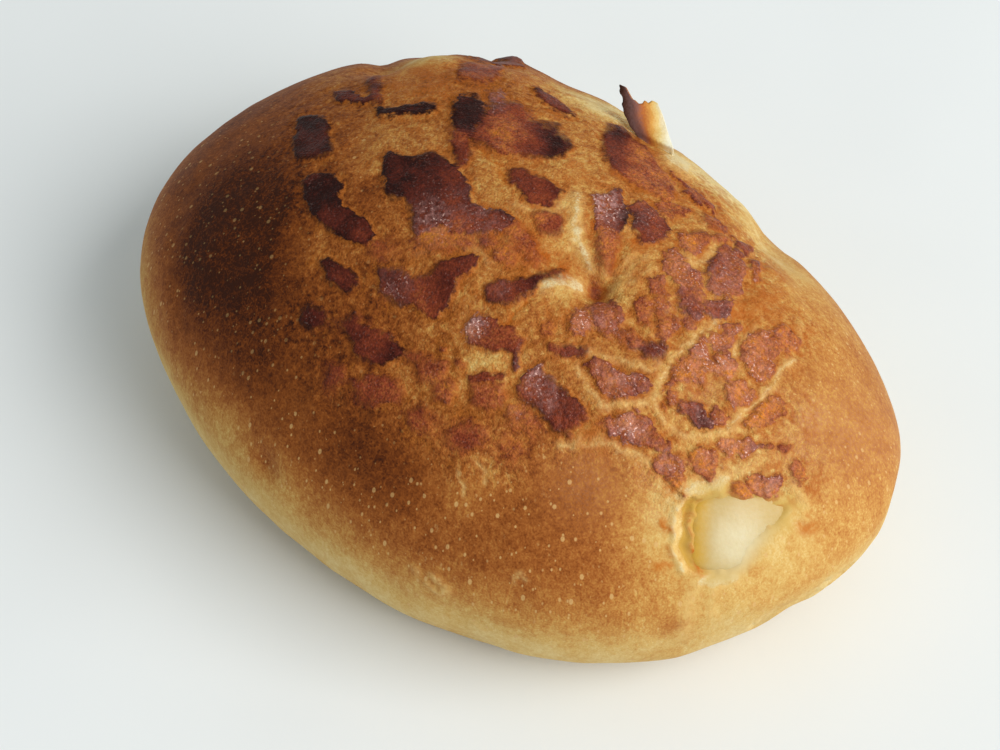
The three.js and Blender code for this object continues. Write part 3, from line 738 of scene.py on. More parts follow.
def crackField(pixels, facing):
    rise, pale, rust = [np.zeros(len(pixels)) for field in range(3)]
    for line, width, height, paleness in crackLines.values():
        corners = np.array(line, float)
        index = np.flatnonzero(inBox(pixels, corners, 5 * width * pixelsPerMm) & facing)
        gap = edgeGap(pixels[index], corners[:-1], corners[1:] - corners[:-1]) / pixelsPerMm
        strength = np.exp(-gap * gap / (width * width))
        rise[index] += height * strength
        pale[index] = np.maximum(pale[index], paleness * strength)
        rust[index] = np.maximum(rust[index], -paleness * strength)
    return rise, pale, rust


# the die of cheese in its burst, in mm; towards the right a skin of dough closes over it
cheeseDie = {
    "pixel": (741, 534),
    "across": 14.4, "along": 11.8, "deep": 10.5, "turn": -4,
    "planSquareness": 4, "topSquareness": 8,
    "shoulder": (0.2, (-1.0, -7.0)),         # drop of its open side, and from and to where
    "lumpiness": (0.12, 4),                  # rise and size
    "under": 0.15,                           # how far its top lies under the dough
    # the cream middle and the golden open side are partly the cheese's own colour, partly painted
    # light and shade
    "core": ((735, 541), 3.0),               # pixel and reach of its cream middle
    "open": (-3.5, -6.5),                    # from and to where its open side turns golden
    "sectors": 160, "rings": 80,
    "pocket": 0.95,                          # depth of the burst round it
    "burst": [(684, 501), (692, 496), (712, 492), (729, 493), (745, 500), (788, 507), (781, 517),
              (763, 527), (751, 537), (742, 550), (736, 562), (725, 570), (706, 573), (690, 570),
              (682, 562), (679, 545), (680, 520)],
    "skin": ((764, 470), (704, 600)),        # pixels of the line beside which the skin closes
    "skinAbove": ((509, 497), (690, 706)),   # pixels down and across between which it closes
    "skinBelow": ((556, 568), (698, 710)),
    "skinSoft": 12, "skinStart": 0.18, "skinReach": 1.2,
}


# depth of the pocket round the cheese, how far the dough melts there, and how far its skin closes
def pocketDepth(pixels, burst):
    (x, y), (u, v) = cheeseDie["skin"]
    beside = (pixels[:, 0] - x) * (v - y) - (pixels[:, 1] - y) * (u - x)
    beside = beside / math.hypot(u - x, v - y)
    # 0 at the torn lip, 1 where the skin closes over the cheese
    closings = [smooth(-cheeseDie["skinSoft"], cheeseDie["skinSoft"], beside)]
    for down, across in (cheeseDie["skinAbove"], cheeseDie["skinBelow"]):
        closings.append(smooth(*down, pixels[:, 1]) * smooth(*across, pixels[:, 0]))
    closing = np.maximum.reduce(closings)
    torn = smooth(-0.1, 0.7, burst)
    start = cheeseDie["skinStart"]
    skin = np.where(burst > 0, 1 - (1 - start) * np.exp(-np.maximum(burst, 0)),
                    start * np.exp(np.minimum(burst, 0) / cheeseDie["skinReach"]))
    melted = smooth(-2.8, 0.1, burst) * closing + smooth(0, 0.5, burst) * (1 - closing)
    return cheeseDie["pocket"] * (torn + (skin - torn) * closing), melted, closing


# 1 at the cheese's cream core, 0 away from it
def creamCore(points):
    pixel, reach = cheeseDie["core"]
    return fade(points, seenPoints(photoSight, [pixel])[0], reach)


def cheeseFrame():
    seat = seenPoints(photoSight, [cheeseDie["pixel"]])
    out = loafNormal(seat)[0]
    right = photoSight["right"] - out * (photoSight["right"] @ out)
    right /= np.linalg.norm(right)
    turn = math.radians(cheeseDie["turn"])
    along = np.cross(out, right)
    across = right * math.cos(turn) + along * math.sin(turn)
    along = np.cross(out, across)
    return seat[0], across, along, out


def signedPower(value, power):
    return np.sign(value) * np.abs(value) ** power


# a square grid bent to a disc: turn and radius of each point
def discGrid(count):
    u, v = np.meshgrid(np.linspace(-1, 1, count), np.linspace(-1, 1, count), indexing="ij")
    radius = np.maximum(np.abs(u), np.abs(v))
    wide = np.abs(u) >= np.abs(v)
    turn = np.where(wide, math.pi / 4 * v / np.where(wide, np.where(u == 0, 1, u), 1),
                    math.pi / 2 - math.pi / 4 * u / np.where(wide, 1, np.where(v == 0, 1, v)))
    turn = turn + np.where(np.where(wide, u, v) < 0, math.pi, 0)
    return turn.ravel(), radius.ravel()


# share and level down the profile, with the length from the top to each
def profileTable():
    climb = np.linspace(math.pi / 2, 0, 400)
    share = np.maximum(np.cos(climb), 0) ** (2 / roll["domeSquareness"])
    rise = roll["height"] - roll["widestLevel"]
    level = roll["widestLevel"] + rise * np.sin(climb) ** (2 / roll["domeSquareness"])
    capStep = np.searchsorted(share, roll["capShare"])
    bend = np.linspace(0, math.pi / 2, 200)[1:]
    lowReach = np.maximum(np.cos(bend), 0) ** (2 / roll["footSquareness"])
    lowShare = roll["footShare"] + (1 - roll["footShare"]) * lowReach
    lowLevel = roll["widestLevel"] * (1 - np.sin(bend) ** (2 / roll["footSquareness"]))
    share, level = np.concatenate([share, lowShare]), np.concatenate([level, lowLevel])
    halfSize = (roll["length"] + roll["width"]) / 4
    steps = np.hypot(np.diff(share) * halfSize, np.diff(level))
    steps = np.where(level[1:] < roll["widestLevel"], steps * roll["lowDensity"], steps)
    along = np.concatenate([[0], np.cumsum(steps)])
    return along, share, level, along[capStep]


def meshPiece(name, points, faces, fields):
    mesh = bpy.data.meshes.new(name)
    mesh.from_pydata([tuple(p) for p in (points - rollCentre) * mm], [], faces)
    for label, values in fields.items():
        field = mesh.attributes.new(label, "FLOAT", "POINT")
        field.data.foreach_set("value", np.asarray(values, np.float32))
    mesh.polygons.foreach_set("use_smooth", np.ones(len(mesh.polygons), bool))
    mesh.update()
    piece = bpy.data.objects.new(name, mesh)
    bpy.context.scene.collection.objects.link(piece)
    return piece


# rise of the film of crust, its grooves and the dough's own folds, in mm
relief = {
    "film": 0.26, "filmRight": 0.24, "plateGrow": 0.2,
    "curl": (0.05, 0.35, 0.3),     # rise, distance into the plate, and width
    "groove": (-0.1, -0.5, 0.35),
    "crinkle": 0.2, "crinkleSizes": (2.4, 1.2), "fold": (0.07, 3),
    "pebbleFrom": 8, "pebbleFull": 26, "pebbleSize": 3.0,  # X where plates break into pebbles
    "seam": 0.22, "seamWidth": 0.4, "seamBend": (0.8, 2.5),
    # backShine: the shine over the back, for the coat and for the painted sheen and glints
    "toneStir": (0.22, 3.5), "backShine": 0.4,
}
# the yellow bump at the back rim, tinted butter-yellow: partly its own colour, partly painted shade
butterBump = {"pixel": (420, 64), "reach": 2, "melted": 0.2}


# a ridge or groove along the plates' edges
def edgeRidge(depth, rule):
    rise, place, width = rule
    return rise * np.exp(-((depth - place) / width) ** 2)


def crustedSurface(points, normals):
    facing = facingEye(points, normals, photoSight)
    facingBack = facingEye(points, normals, backSight)
    seen = facing > 0.0
    front = plateField(points, photoSight, crustPlates)
    back = plateField(points, backSight, backPlates())
    # the plates at the back keep off what the photo shows
    backDepth = np.where(facingBack > 0.05, back[0], -filmReach) - 6 * smooth(-0.1, 0.12, facing)
    depth = np.where(seen, front[0], backDepth)
    tone, soft = [np.where(seen, front[field], back[field]) for field in (1, 2)]
    pixels = front[3]
    for pixel, reach, change in toneSpots:
        tone = tone + np.where(seen, change * fade(pixels, pixel, reach), 0)
    stirring, size = relief["toneStir"]
    tone = tone + stirring * lumps(points, size, 16)
    shine = np.where(seen, strongest(pixels, shineSpots), relief["backShine"])
    amber = np.where(seen, strongest(pixels, amberSpots), 0.0)
    blush = np.where(seen, strongest(pixels, blushSpots), 0.0)
    veinRise, pale, rust = crackField(pixels, seen)
    butter = fade(points, seenPoints(photoSight, [butterBump["pixel"]])[0], butterBump["reach"])
    # plates, broken into pebbles towards the burst
    pebble = smooth(relief["pebbleFrom"], relief["pebbleFull"], points[:, 0])
    bend, size = relief["seamBend"]
    bent = points + bend * wander(points, size, (17, 18, 19))
    seams = cellSeams(bent, relief["pebbleSize"], 20) * pebble * smooth(-1.5, 0.2, depth)
    crust = smooth(-6, -0.5, depth)
    depth = depth + relief["plateGrow"] * pebble - relief["seamWidth"] * seams
    film = smooth(-0.5, 0.5, depth / np.maximum(soft, 0.5))
    fold, size = relief["fold"]
    rise = doughRise(points) + fold * lumps(points, size, 10) * (1 - crust)
    filmRise = relief["film"] + (relief["filmRight"] - relief["film"]) * pebble
    rise += filmRise * film + edgeRidge(depth, relief["curl"])
    rise += edgeRidge(depth, relief["groove"])
    # the burst, with a smoother skin where it closes
    burst = np.where(seen, insideDistance(pixels, cheeseDie["burst"]) / pixelsPerMm, -9)
    pocket, melted, closing = pocketDepth(pixels, burst)
    large, small = relief["crinkleSizes"]
    crinkle = lumps(points, large, 3) + 0.6 * lumps(points, small, 4)
    crinkle = crinkle * (1 - 0.8 * smooth(-3.5, -0.5, burst) * closing)
    crinkleRise = relief["crinkle"] * crust * crinkle * (0.7 + 0.8 * pebble)
    rise += crinkleRise + veinRise - relief["seam"] * seams - pocket
    fields = {
        "plate": depth, "tone": np.clip(tone, 0, 1), "soft": soft, "crust": crust, "pale": pale,
        "rust": rust, "shine": shine, "amber": amber, "blush": blush,
        # the yellow bump takes the melted butter colour, partly as painted shade
        "melted": np.maximum(melted, butterBump["melted"] * butter),
        "closing": np.maximum(closing, butter),
        "core": creamCore(points), "flake": np.full(len(points), -1.0),
    }
    return rise, fields


# the flake of crust that stands up at the back, in pixels of the photo and mm
flake = {
    # its sides from foot to top
    "left": [(656, 155), (641, 139), (630, 127), (625, 114), (622, 100), (619, 84)],
    "right": [(677, 163), (675, 154), (672, 145), (668, 133), (663, 116), (657, 102)],
    "foot": ((627, 128), (680, 169)),
    "topDips": [(0.0, 0.04), (0.06, -0.05), (0.14, -0.03), (0.2, 0.06), (0.26, 0.14), (0.4, 0.14),
                (0.7, 0.08), (1.0, 0.0)],    # place across and dip of its top edge
    "teeth": (31, 14, 0.025),                # seed, count and size along its top edge
    "notches": (33, 20, 1.6),                # and down its dark side
    "thick": (1.3, 0.5),                     # at the foot and at the top
    "thin": (0.6, 0.92),                     # share that its dark and its pale edge lose
    "sunk": (1.2, -0.7, 1.2),                # depth of its foot, and more at its pale side and end
    "lumpiness": (0.25, 2.2),                # rise and size
    "columns": 48, "rows": 30, "bend": 3.0,
}


# an uneven line: random steps with a seed, count and size, read at places from 0 to 1
def jagged(places, rule):
    seed, count, size = rule
    steps = np.random.default_rng(seed).uniform(-size, size, count)
    return np.interp(places, np.linspace(0, 1, count), steps)


def makeFlake():
    columns, rows = flake["columns"], flake["rows"]
    grid = np.meshgrid(np.linspace(0, 1, columns), np.linspace(0, 1, rows))
    across, up = [a.ravel() for a in grid]
    dips = np.array(flake["topDips"])
    height = up * (1 - np.interp(across, dips[:, 0], dips[:, 1]) + jagged(across, flake["teeth"]))
    side = np.linspace(0, 1, len(flake["left"]))
    sides = [np.array(flake[name], float) for name in ("left", "right")]
    left, right = [
        np.stack([np.interp(height, side, line[:, i]) for i in (0, 1)], -1) for line in sides
    ]
    pixels = left + (right - left) * across[:, None]
    darkTop = (1 - smooth(0, 0.2, across)) * smooth(0.4, 0.7, height)
    pixels[:, 0] += darkTop * jagged(height, flake["notches"])
    # it stands on the line of its foot, in a plane that leans with the view
    footEnds = seenPoints(photoSight, flake["foot"])
    face = np.cross(footEnds[1] - footEnds[0], photoSight["up"])
    face /= np.linalg.norm(face)
    face = face * np.sign(face @ photoSight["back"])
    way = sightLines(photoSight, pixels)
    reach = ((footEnds[0] - photoSight["eye"]) @ face) / (way @ face)
    standing = photoSight["eye"] + reach[:, None] * way
    # its foot is sunk in the dough
    deep, onPaleSide, atEnd = flake["sunk"]
    sunk = deep + onPaleSide * smooth(0.45, 0.8, across) + atEnd * smooth(0.86, 1, across)
    resting = seenPoints(photoSight, pixels)
    resting -= loafNormal(resting) * sunk[:, None]
    middle = resting + (standing - resting) * smooth(0.0, 0.35, height)[:, None]
    bend = flake["bend"] * smooth(0.25, 1.1, across) * smooth(0.15, 0.7, height)
    lump, lumpSize = flake["lumpiness"]
    middle += way * (bend + lump * lumps(middle, lumpSize, 32))[:, None]
    (footThick, topThick), (darkThin, paleThin) = flake["thick"], flake["thin"]
    thick = footThick + (topThick - footThick) * height
    thick = thick * (1 - darkThin + darkThin * smooth(0, 0.3, across))
    thick = thick * (1 - paleThin * smooth(0.5, 1, across))
    points = np.concatenate([middle, middle - face * thick[:, None]])
    corner = np.arange(columns * rows).reshape(rows, columns)
    quads = [corner[:-1, :-1], corner[:-1, 1:], corner[1:, 1:], corner[1:, :-1]]
    quads = np.stack(quads, -1).reshape(-1, 4)
    rim = np.concatenate([corner[0, :-1], corner[:-1, -1], corner[-1, :0:-1], corner[:0:-1, 0]])
    after, behind = np.roll(rim, -1), columns * rows
    faces = quads.tolist() + (quads[:, ::-1] + behind).tolist()
    faces += np.stack([rim, rim + behind, after + behind, after], -1).tolist()
    # place along its colours, from the dark side to the torn one
    place = np.clip(0.85 * across + (0.15 + 0.2 * across) * (1 - height), 0, 1)
    colourPlace = np.concatenate([place, np.maximum(place, 0.7)])
    print("flake:", len(points), "points")
    return points, faces, colourPlace


# faces between two rings of points
def joinRings(outer, inner):
    return np.stack([outer, inner, np.roll(inner, -1), np.roll(outer, -1)], -1).tolist()


def makeBread():
    count = roll["capCount"]
    turn, radius = discGrid(count)
    along, share, level, capEdge = profileTable()
    corner = np.arange(count * count).reshape(count, count)
    quads = [corner[:-1, :-1], corner[1:, :-1], corner[1:, 1:], corner[:-1, 1:]]
    faces = np.stack(quads, -1).reshape(-1, 4).tolist()
    ring = np.concatenate([corner[:-1, 0], corner[-1, :-1], corner[:0:-1, -1], corner[0, :0:-1]])
    rows = np.linspace(capEdge, along[-1], roll["bandRows"] + 1)[1:]
    place = np.concatenate([radius * capEdge, np.repeat(rows, len(ring))])
    turn = np.concatenate([turn, np.tile(turn[ring], len(rows))])
    lean, leanTurn = roll["lean"]
    turn = turn - lean * np.sin(turn - math.radians(leanTurn))
    points = loafPoint(turn, np.interp(place, along, share), np.interp(place, along, level))
    normals = loafNormal(points)
    rise, fields = crustedSurface(points, normals)
    points = points + normals * (rise * smooth(0.0, roll["plainBelow"], points[:, 2]))[:, None]
    for row in range(len(rows)):
        inner = count * count + row * len(ring) + np.arange(len(ring))
        faces += joinRings(ring, inner)
        ring = inner
    # the foot, a little hollow
    allPoints, size, outer = [points], len(points), ring
    for step in range(1, roll["footRings"]):
        inner = np.arange(size, size + len(ring))
        inset = points[ring] * (1 - step / roll["footRings"])
        inset[:, 2] = roll["footHollow"] * smooth(0, 2, step)
        allPoints.append(inset)
        faces += joinRings(outer, inner)
        outer, size = inner, size + len(ring)
    allPoints.append(np.array([[0, 0, roll["footHollow"]]]))
    faces += [[int(a), size, int(b)] for a, b in zip(outer, np.roll(outer, -1))]
    flakePoints, flakeFaces, flakePlace = makeFlake()
    size += 1
    faces += [[size + index for index in face] for face in flakeFaces]
    # the foot and the flake carry plain fields
    plain = len(points)
    points = np.concatenate(allPoints + [flakePoints])
    for label, values in fields.items():
        fields[label] = np.concatenate([values, np.full(len(points) - plain, values[0])])
    fields["plate"][plain:] = -filmReach
    for label in ("crust", "pale", "rust", "amber", "blush", "melted", "core"):
        fields[label][plain:] = 0
    fields["flake"][size:] = flakePlace
    fields["bake"] = bakeField(points)
    piece = meshPiece("breadRoll", points, faces, fields)
    print("bread:", len(points), "points,", len(faces), "faces")
    return piece


def makeCheese():
    seat, across, along, out = cheeseFrame()
    sectors, rings = cheeseDie["sectors"], cheeseDie["rings"]
    turn = np.arange(sectors) * 2 * math.pi / sectors
    tilt = np.linspace(-math.pi / 2, math.pi / 2, rings + 2)[1:-1]
    turn, tilt = [a.ravel() for a in np.meshgrid(turn, tilt)]
    plan, top = 2 / cheeseDie["planSquareness"], 2 / cheeseDie["topSquareness"]
    ring = signedPower(np.cos(tilt), top)
    u = cheeseDie["across"] / 2 * ring * signedPower(np.cos(turn), plan)
    v = cheeseDie["along"] / 2 * ring * signedPower(np.sin(turn), plan)
    halfDeep = cheeseDie["deep"] / 2
    w = halfDeep * signedPower(np.sin(tilt), top)
    seatRise = doughRise(seat[None])[0]
    centre = seat + out * (seatRise - cheeseDie["under"] - halfDeep)
    points = centre + u[:, None] * across + v[:, None] * along + w[:, None] * out
    points = np.concatenate([points, [centre - out * halfDeep, centre + out * halfDeep]])
    # its top follows the roll's round and slopes to a soft shoulder at its open side
    place = points - centre
    local = np.stack([place @ across, place @ along, place @ out], -1)
    upper = smooth(-0.5, 0.5, local[:, 2] / halfDeep)
    above = seat + local[:, :1] * across + local[:, 1:2] * along
    sag = outsideLoaf(above) / np.linalg.norm(loafSlope(above), axis=-1)
    sag = sag - (doughRise(above) - seatRise)
    (drop, limits), (lump, lumpSize) = cheeseDie["shoulder"], cheeseDie["lumpiness"]
    slope, uneven = drop * smooth(*limits, local[:, 0]), lump * lumps(points, lumpSize, 21)
    points = points + out * (upper * (-slope - sag + uneven))[:, None]
    corner = np.arange(sectors * rings).reshape(rings, sectors)
    after = np.roll(corner, -1, 1)
    faces = np.stack([corner[:-1], after[:-1], after[1:], corner[1:]], -1).reshape(-1, 4).tolist()
    low, high = sectors * rings, sectors * rings + 1
    faces += [[low, int(b), int(a)] for a, b in zip(corner[0], after[0])]
    faces += [[high, int(a), int(b)] for a, b in zip(corner[-1], after[-1])]
    fields = {"core": creamCore(points), "open": smooth(*cheeseDie["open"], local[:, 0])}
    piece = meshPiece("cheeseDie", points, faces, fields)
    print("cheese:", len(points), "points")
    return piece


# node helpers for the finishes
def addNode(tree, kind, inputs=None, **settings):
    made = tree.nodes.new(kind)
    for key, value in settings.items():
        setattr(made, key, value)
    for key, value in (inputs or {}).items():
        if isinstance(value, bpy.types.NodeSocket):
            tree.links.new(value, made.inputs[key])
        else:
            made.inputs[key].default_value = value
    return made


def calc(tree, operation, first, second=0.0, third=0.0, clamp=False):
    inputs = {0: first, 1: second, 2: third}
    return addNode(tree, "ShaderNodeMath", inputs, operation=operation, use_clamp=clamp).outputs[0]


def times(tree, first, second, clamp=False):
    return calc(tree, "MULTIPLY", first, second, clamp=clamp)


# a value times a slope, from a start
def linear(tree, value, slope, start, clamp=False):
    return calc(tree, "MULTIPLY_ADD", value, slope, start, clamp)


# what is left of 1
def rest(tree, value):
    return calc(tree, "SUBTRACT", 1.0, value, clamp=True)


def mixColour(tree, share, under, over, blend="MIX"):
    inputs = {0: share, 6: under, 7: over}
    return addNode(tree, "ShaderNodeMix", inputs, data_type="RGBA", blend_type=blend).outputs[2]


def spread(tree, value, low, high, first=0.0, last=1.0):
    inputs = {"Value": value, "From Min": low, "From Max": high, "To Min": first, "To Max": last}
    return addNode(tree, "ShaderNodeMapRange", inputs, interpolation_type="SMOOTHSTEP").outputs[0]


def colour(*rgb):
    shares = [value / 255 for value in rgb]
    return (*[c / 12.92 if c <= 0.04045 else ((c + 0.055) / 1.055) ** 2.4 for c in shares], 1.0)


def colourRamp(tree, value, stops):
    made = addNode(tree, "ShaderNodeValToRGB", {0: value})
    elements = made.color_ramp.elements
    for place, rgb in stops[1:-1]:
        elements.new(place).color = colour(*rgb)
    for end in (0, -1):
        elements[end].position, elements[end].color = stops[end][0], colour(*stops[end][1])
    return made.outputs[0]


def attribute(tree, label):
    return addNode(tree, "ShaderNodeAttribute", attribute_name=label).outputs["Fac"]


# noise with lumps of a size in mm
def grain(tree, place, size, detail=3.0, rough=0.55):
    inputs = {"Vector": place, "Scale": 1 / (size * mm), "Detail": detail, "Roughness": rough}
    return addNode(tree, "ShaderNodeTexNoise", inputs).outputs["Fac"]


def centred(tree, value):
    return calc(tree, "SUBTRACT", value, 0.5)


# adds an amount of some noise to a value
def stir(tree, value, noise, amount):
    return linear(tree, centred(tree, noise), amount, value)


# pale blisters in cells of a size in mm
def blisters(tree, place, size, least, widest):
    inputs = {"Vector": place, "Scale": 1 / (size * mm), "Randomness": 1.0}
    cells = addNode(tree, "ShaderNodeTexVoronoi", inputs)
    draw = addNode(tree, "ShaderNodeSeparateColor", {0: cells.outputs["Color"]}).outputs[0]
    radius = spread(tree, draw, least, 1.0, -0.04, widest)
    return spread(tree, calc(tree, "SUBTRACT", radius, cells.outputs["Distance"]), -0.03, 0.06)


def bumps(tree, shader, height, strength, distance):
    inputs = {"Height": height, "Strength": strength, "Distance": distance * mm}
    tree.links.new(addNode(tree, "ShaderNodeBump", inputs).outputs[0], shader.inputs["Normal"])


def newFinish(name):
    finish = bpy.data.materials.new(name)
    finish.use_nodes = True
    return finish, finish.node_tree, finish.node_tree.nodes["Principled BSDF"]


cheeseFinish = {
    # the cream middle against the butter and golden sides is partly the cheese's own colour, partly
    # painted light and shade
    "cream": (210, 196, 158),
    "butter": (182, 148, 70),
    "open": (204, 158, 54),
    "rough": 0.42,
    "clear": 0.12,                       # how much light goes into it, and how deep in m
    "clearDepth": (0.004, 0.0025, 0.001),
    "clearScale": 0.5,
    "bump": (0.2, 0.2),                  # strength and height in mm
}

crustFinish = {
    "doughStops": [(0.0, (220, 194, 134)), (0.15, (206, 168, 98)), (0.3, (192, 140, 72)),
                   (0.45, (176, 115, 54)), (0.6, (156, 90, 38)), (0.75, (130, 68, 24)),
                   (0.9, (94, 44, 14)), (1.0, (58, 26, 12))],
    "filmStops": [(0.0, (192, 114, 32)), (0.2, (174, 100, 44)), (0.4, (152, 80, 42)),
                  (0.6, (124, 54, 30)), (0.8, (86, 33, 22)), (1.0, (42, 14, 9))],
    # the flake's lilac-grey band is a painted sheen, and its stops are lightened past its own
    # colour as painted light on its shaded face and torn edge
    "flakeStops": [(0.0, (62, 36, 26)), (0.1, (94, 62, 54)), (0.22, (128, 94, 90)),
                   (0.36, (142, 92, 78)), (0.5, (172, 98, 46)), (0.66, (204, 148, 72)),
                   (0.8, (226, 196, 128)), (1.0, (246, 240, 214))],
    "amber": (166, 84, 22),
    "rust": (182, 100, 26),
    "blush": (187, 131, 92),
    "cream": (222, 184, 116),
    "lip": (216, 196, 148),
    "groove": (186, 146, 64),
    "butter": (190, 154, 78),
    "dotCream": (208, 166, 106),
    # painted sheen, lilac on the dark plates, and painted glints, mixed into the plates' colour
    "paintedSheen": (188, 120, 90),
    "paintedSheenDark": (162, 114, 107),
    "paintedGlint": (228, 188, 176),
    "streak": 0.5,
    "cloud": 0.32,
    "blotch": 0.85,
    "grain": 0.42,
    "crustGrain": 0.58,
    "crumb": 0.6,
    "mottle": 0.75,
    "edge": 1.5,           # mm by which noise moves the plates' edges
    "halo": 0.65,
    "veil": 0.5,
    "rim": 0.15,
    # strength of the painted sheen
    "shine": 0.7,
    "hairs": -0.08,
    "flecks": 0.45,
    "grit": (0.76, 1.24),
    "doughRough": 0.6,
    "filmRough": 0.42,
    "gloss": 0.08,
    "sheen": 0.3,
    "sheenRough": 0.28,
    "bump": (0.8, 0.4),    # strength and height in mm
}


def crustColour(name):
    return colour(*crustFinish[name])


def makeCrustFinish():
    finish, tree, shader = newFinish("bakedCrust")
    place = addNode(tree, "ShaderNodeTexCoord").outputs["Object"]
    drawnOut, lengthwise = [
        addNode(tree, "ShaderNodeMapping", {"Vector": place, "Scale": (1, 1, share)}).outputs[0]
        for share in (0.45, 0.22)
    ]
    crust, pale, shine = [attribute(tree, label) for label in ("crust", "pale", "shine")]
    cloud = grain(tree, drawnOut, 6.0, 2.0)
    blotch = grain(tree, place, 2.0, 3.0, 0.6)
    fibres = grain(tree, drawnOut, 0.6, 2.0, 0.6)
    fine = grain(tree, place, 0.3, 1.0)
    ragged = grain(tree, place, 0.9, 3.0, 0.6)
    crinkles = calc(tree, "ABSOLUTE", centred(tree, grain(tree, place, 1.2, 2.0)))
    hairs = spread(tree, crinkles, 0.06, 0.0)
    # how far the dough is baked, with clouds, grain and thin lighter hairs
    bake = attribute(tree, "bake")
    clouding = spread(tree, bake, 0.6, 0.9, 1.0, 0.5)
    bake = stir(tree, bake, cloud, times(tree, clouding, crustFinish["cloud"]))
    plainGrain = crustFinish["grain"]
    rugged = linear(tree, crust, crustFinish["crustGrain"] - plainGrain, plainGrain)
    rugged = times(tree, rugged, spread(tree, bake, 0.05, 0.4, 0.5, 1.0))
    rugged = times(tree, rugged, spread(tree, bake, 0.6, 0.9, 1.0, 0.6))
    hairy = linear(tree, crust, 0.25, spread(tree, bake, 0.6, 0.85), clamp=True)
    bake = stir(tree, bake, blotch, times(tree, rugged, crustFinish["blotch"]))
    bake = stir(tree, bake, fibres, rugged)
    bake = stir(tree, bake, ragged, times(tree, crust, crustFinish["crumb"]))
    bake = stir(tree, bake, fine, times(tree, rugged, linear(tree, crust, -0.4, 1.0)))
    bake = linear(tree, times(tree, hairs, hairy), crustFinish["hairs"], bake)
    dough = colourRamp(tree, bake, crustFinish["doughStops"])
    # pale blisters and streaks on the smooth skin, drawn out down the sides
    large = blisters(tree, drawnOut, 1.4, 0.0, 0.22)
    small = blisters(tree, drawnOut, 0.8, 0.35, 0.22)
    dots = times(tree, calc(tree, "MAXIMUM", large, small), linear(tree, crust, -0.55, 0.75))
    dots = times(tree, dots, spread(tree, bake, 0.6, 1.0, 1.0, 0.35))
    streaks = grain(tree, lengthwise, 0.7, 2.0)
    streaks = spread(tree, streaks, 0.66, 0.76, 0.0, crustFinish["streak"])
    streaks = times(tree, streaks, spread(tree, bake, 0.95, 0.3))
    dough = mixColour(tree, calc(tree, "MAXIMUM", dots, streaks), dough, crustColour("dotCream"))
    # cream veins, flecks, blush, amber films and rust; in a few spots the amber and rust are
    # painted shade in folds and under the lid
    veins = times(tree, pale, spread(tree, ragged, 0.34, 0.6, 0.2, 1.1), clamp=True)
    veins = times(tree, veins, spread(tree, fine, 0.3, 0.6, 0.55, 1.0))
    cream = mixColour(tree, spread(tree, pale, 0.6, 0.95), crustColour("cream"), crustColour("lip"))
    dough = mixColour(tree, veins, dough, cream)
    flecks = spread(tree, grain(tree, place, 0.45, 2.0), 0.56, 0.68, 0.0, crustFinish["flecks"])
    flecks = times(tree, times(tree, flecks, crust), spread(tree, bake, 0.7, 0.45))
    dough = mixColour(tree, flecks, dough, crustColour("cream"))
    blushed = mixColour(tree, spread(tree, fine, 0.3, 0.7), dough, crustColour("blush"))
    dough = mixColour(tree, attribute(tree, "blush"), dough, blushed)
    uneven = spread(tree, blotch, 0.35, 0.6, 0.45, 1.0)
    amber = times(tree, attribute(tree, "amber"), uneven)
    dough = mixColour(tree, amber, dough, crustColour("amber"), "DARKEN")
    rust = times(tree, attribute(tree, "rust"), spread(tree, ragged, 0.36, 0.56, 0.45, 1.0))
    dough = mixColour(tree, rust, dough, crustColour("rust"))
    # melted dough round the cheese: golden in the groove, butter where its skin closes
    melted = attribute(tree, "melted")
    cheeseCream = colour(*cheeseFinish["cream"])
    skin = mixColour(tree, attribute(tree, "core"), crustColour("butter"), cheeseCream)
    meltedDough = mixColour(tree, attribute(tree, "closing"), crustColour("groove"), skin)
    dough = mixColour(tree, times(tree, melted, rest(tree, rust)), dough, meltedDough)
    # plates with ragged soft edges in a halo of amber
    depth = stir(tree, attribute(tree, "plate"), ragged, crustFinish["edge"])
    veil = stir(tree, grain(tree, place, 3.6, 2.0), ragged, 0.5)
    thin = times(tree, spread(tree, veil, 0.5, 0.68), times(tree, crust, crustFinish["veil"]))
    halo = times(tree, spread(tree, depth, -1.0, -0.1, 0.0, crustFinish["halo"]), uneven)
    halo = times(tree, calc(tree, "MAXIMUM", thin, halo), rest(tree, veins))
    under = mixColour(tree, halo, dough, crustColour("amber"), "DARKEN")
    film = spread(tree, calc(tree, "DIVIDE", depth, attribute(tree, "soft")), -0.6, 0.6)
    plainTone = attribute(tree, "tone")
    tone, mottle = plainTone, spread(tree, plainTone, 0.35, 0.75, 1.0, 0.4)
    for noise in (blotch, ragged, fine):
        tone = stir(tree, tone, noise, times(tree, mottle, crustFinish["mottle"]))
    fromRim = calc(tree, "ABSOLUTE", calc(tree, "SUBTRACT", depth, 0.1))
    tone = calc(tree, "ADD", tone, spread(tree, fromRim, 0.4, 0.0, 0.0, crustFinish["rim"]))
    plates = colourRamp(tree, tone, crustFinish["filmStops"])
    # their sheen and glints, painted into the colour as highlights, and grit
    # a sheen painted into the plates' colour where they shine, lilac on the dark ones
    paintedSheen = times(tree, spread(tree, ragged, 0.35, 0.65), times(tree, shine, crustFinish["shine"]))
    darkness = spread(tree, plainTone, 0.36, 0.56)
    sheen = mixColour(tree, darkness, crustColour("paintedSheen"), crustColour("paintedSheenDark"))
    plates = mixColour(tree, paintedSheen, plates, sheen)
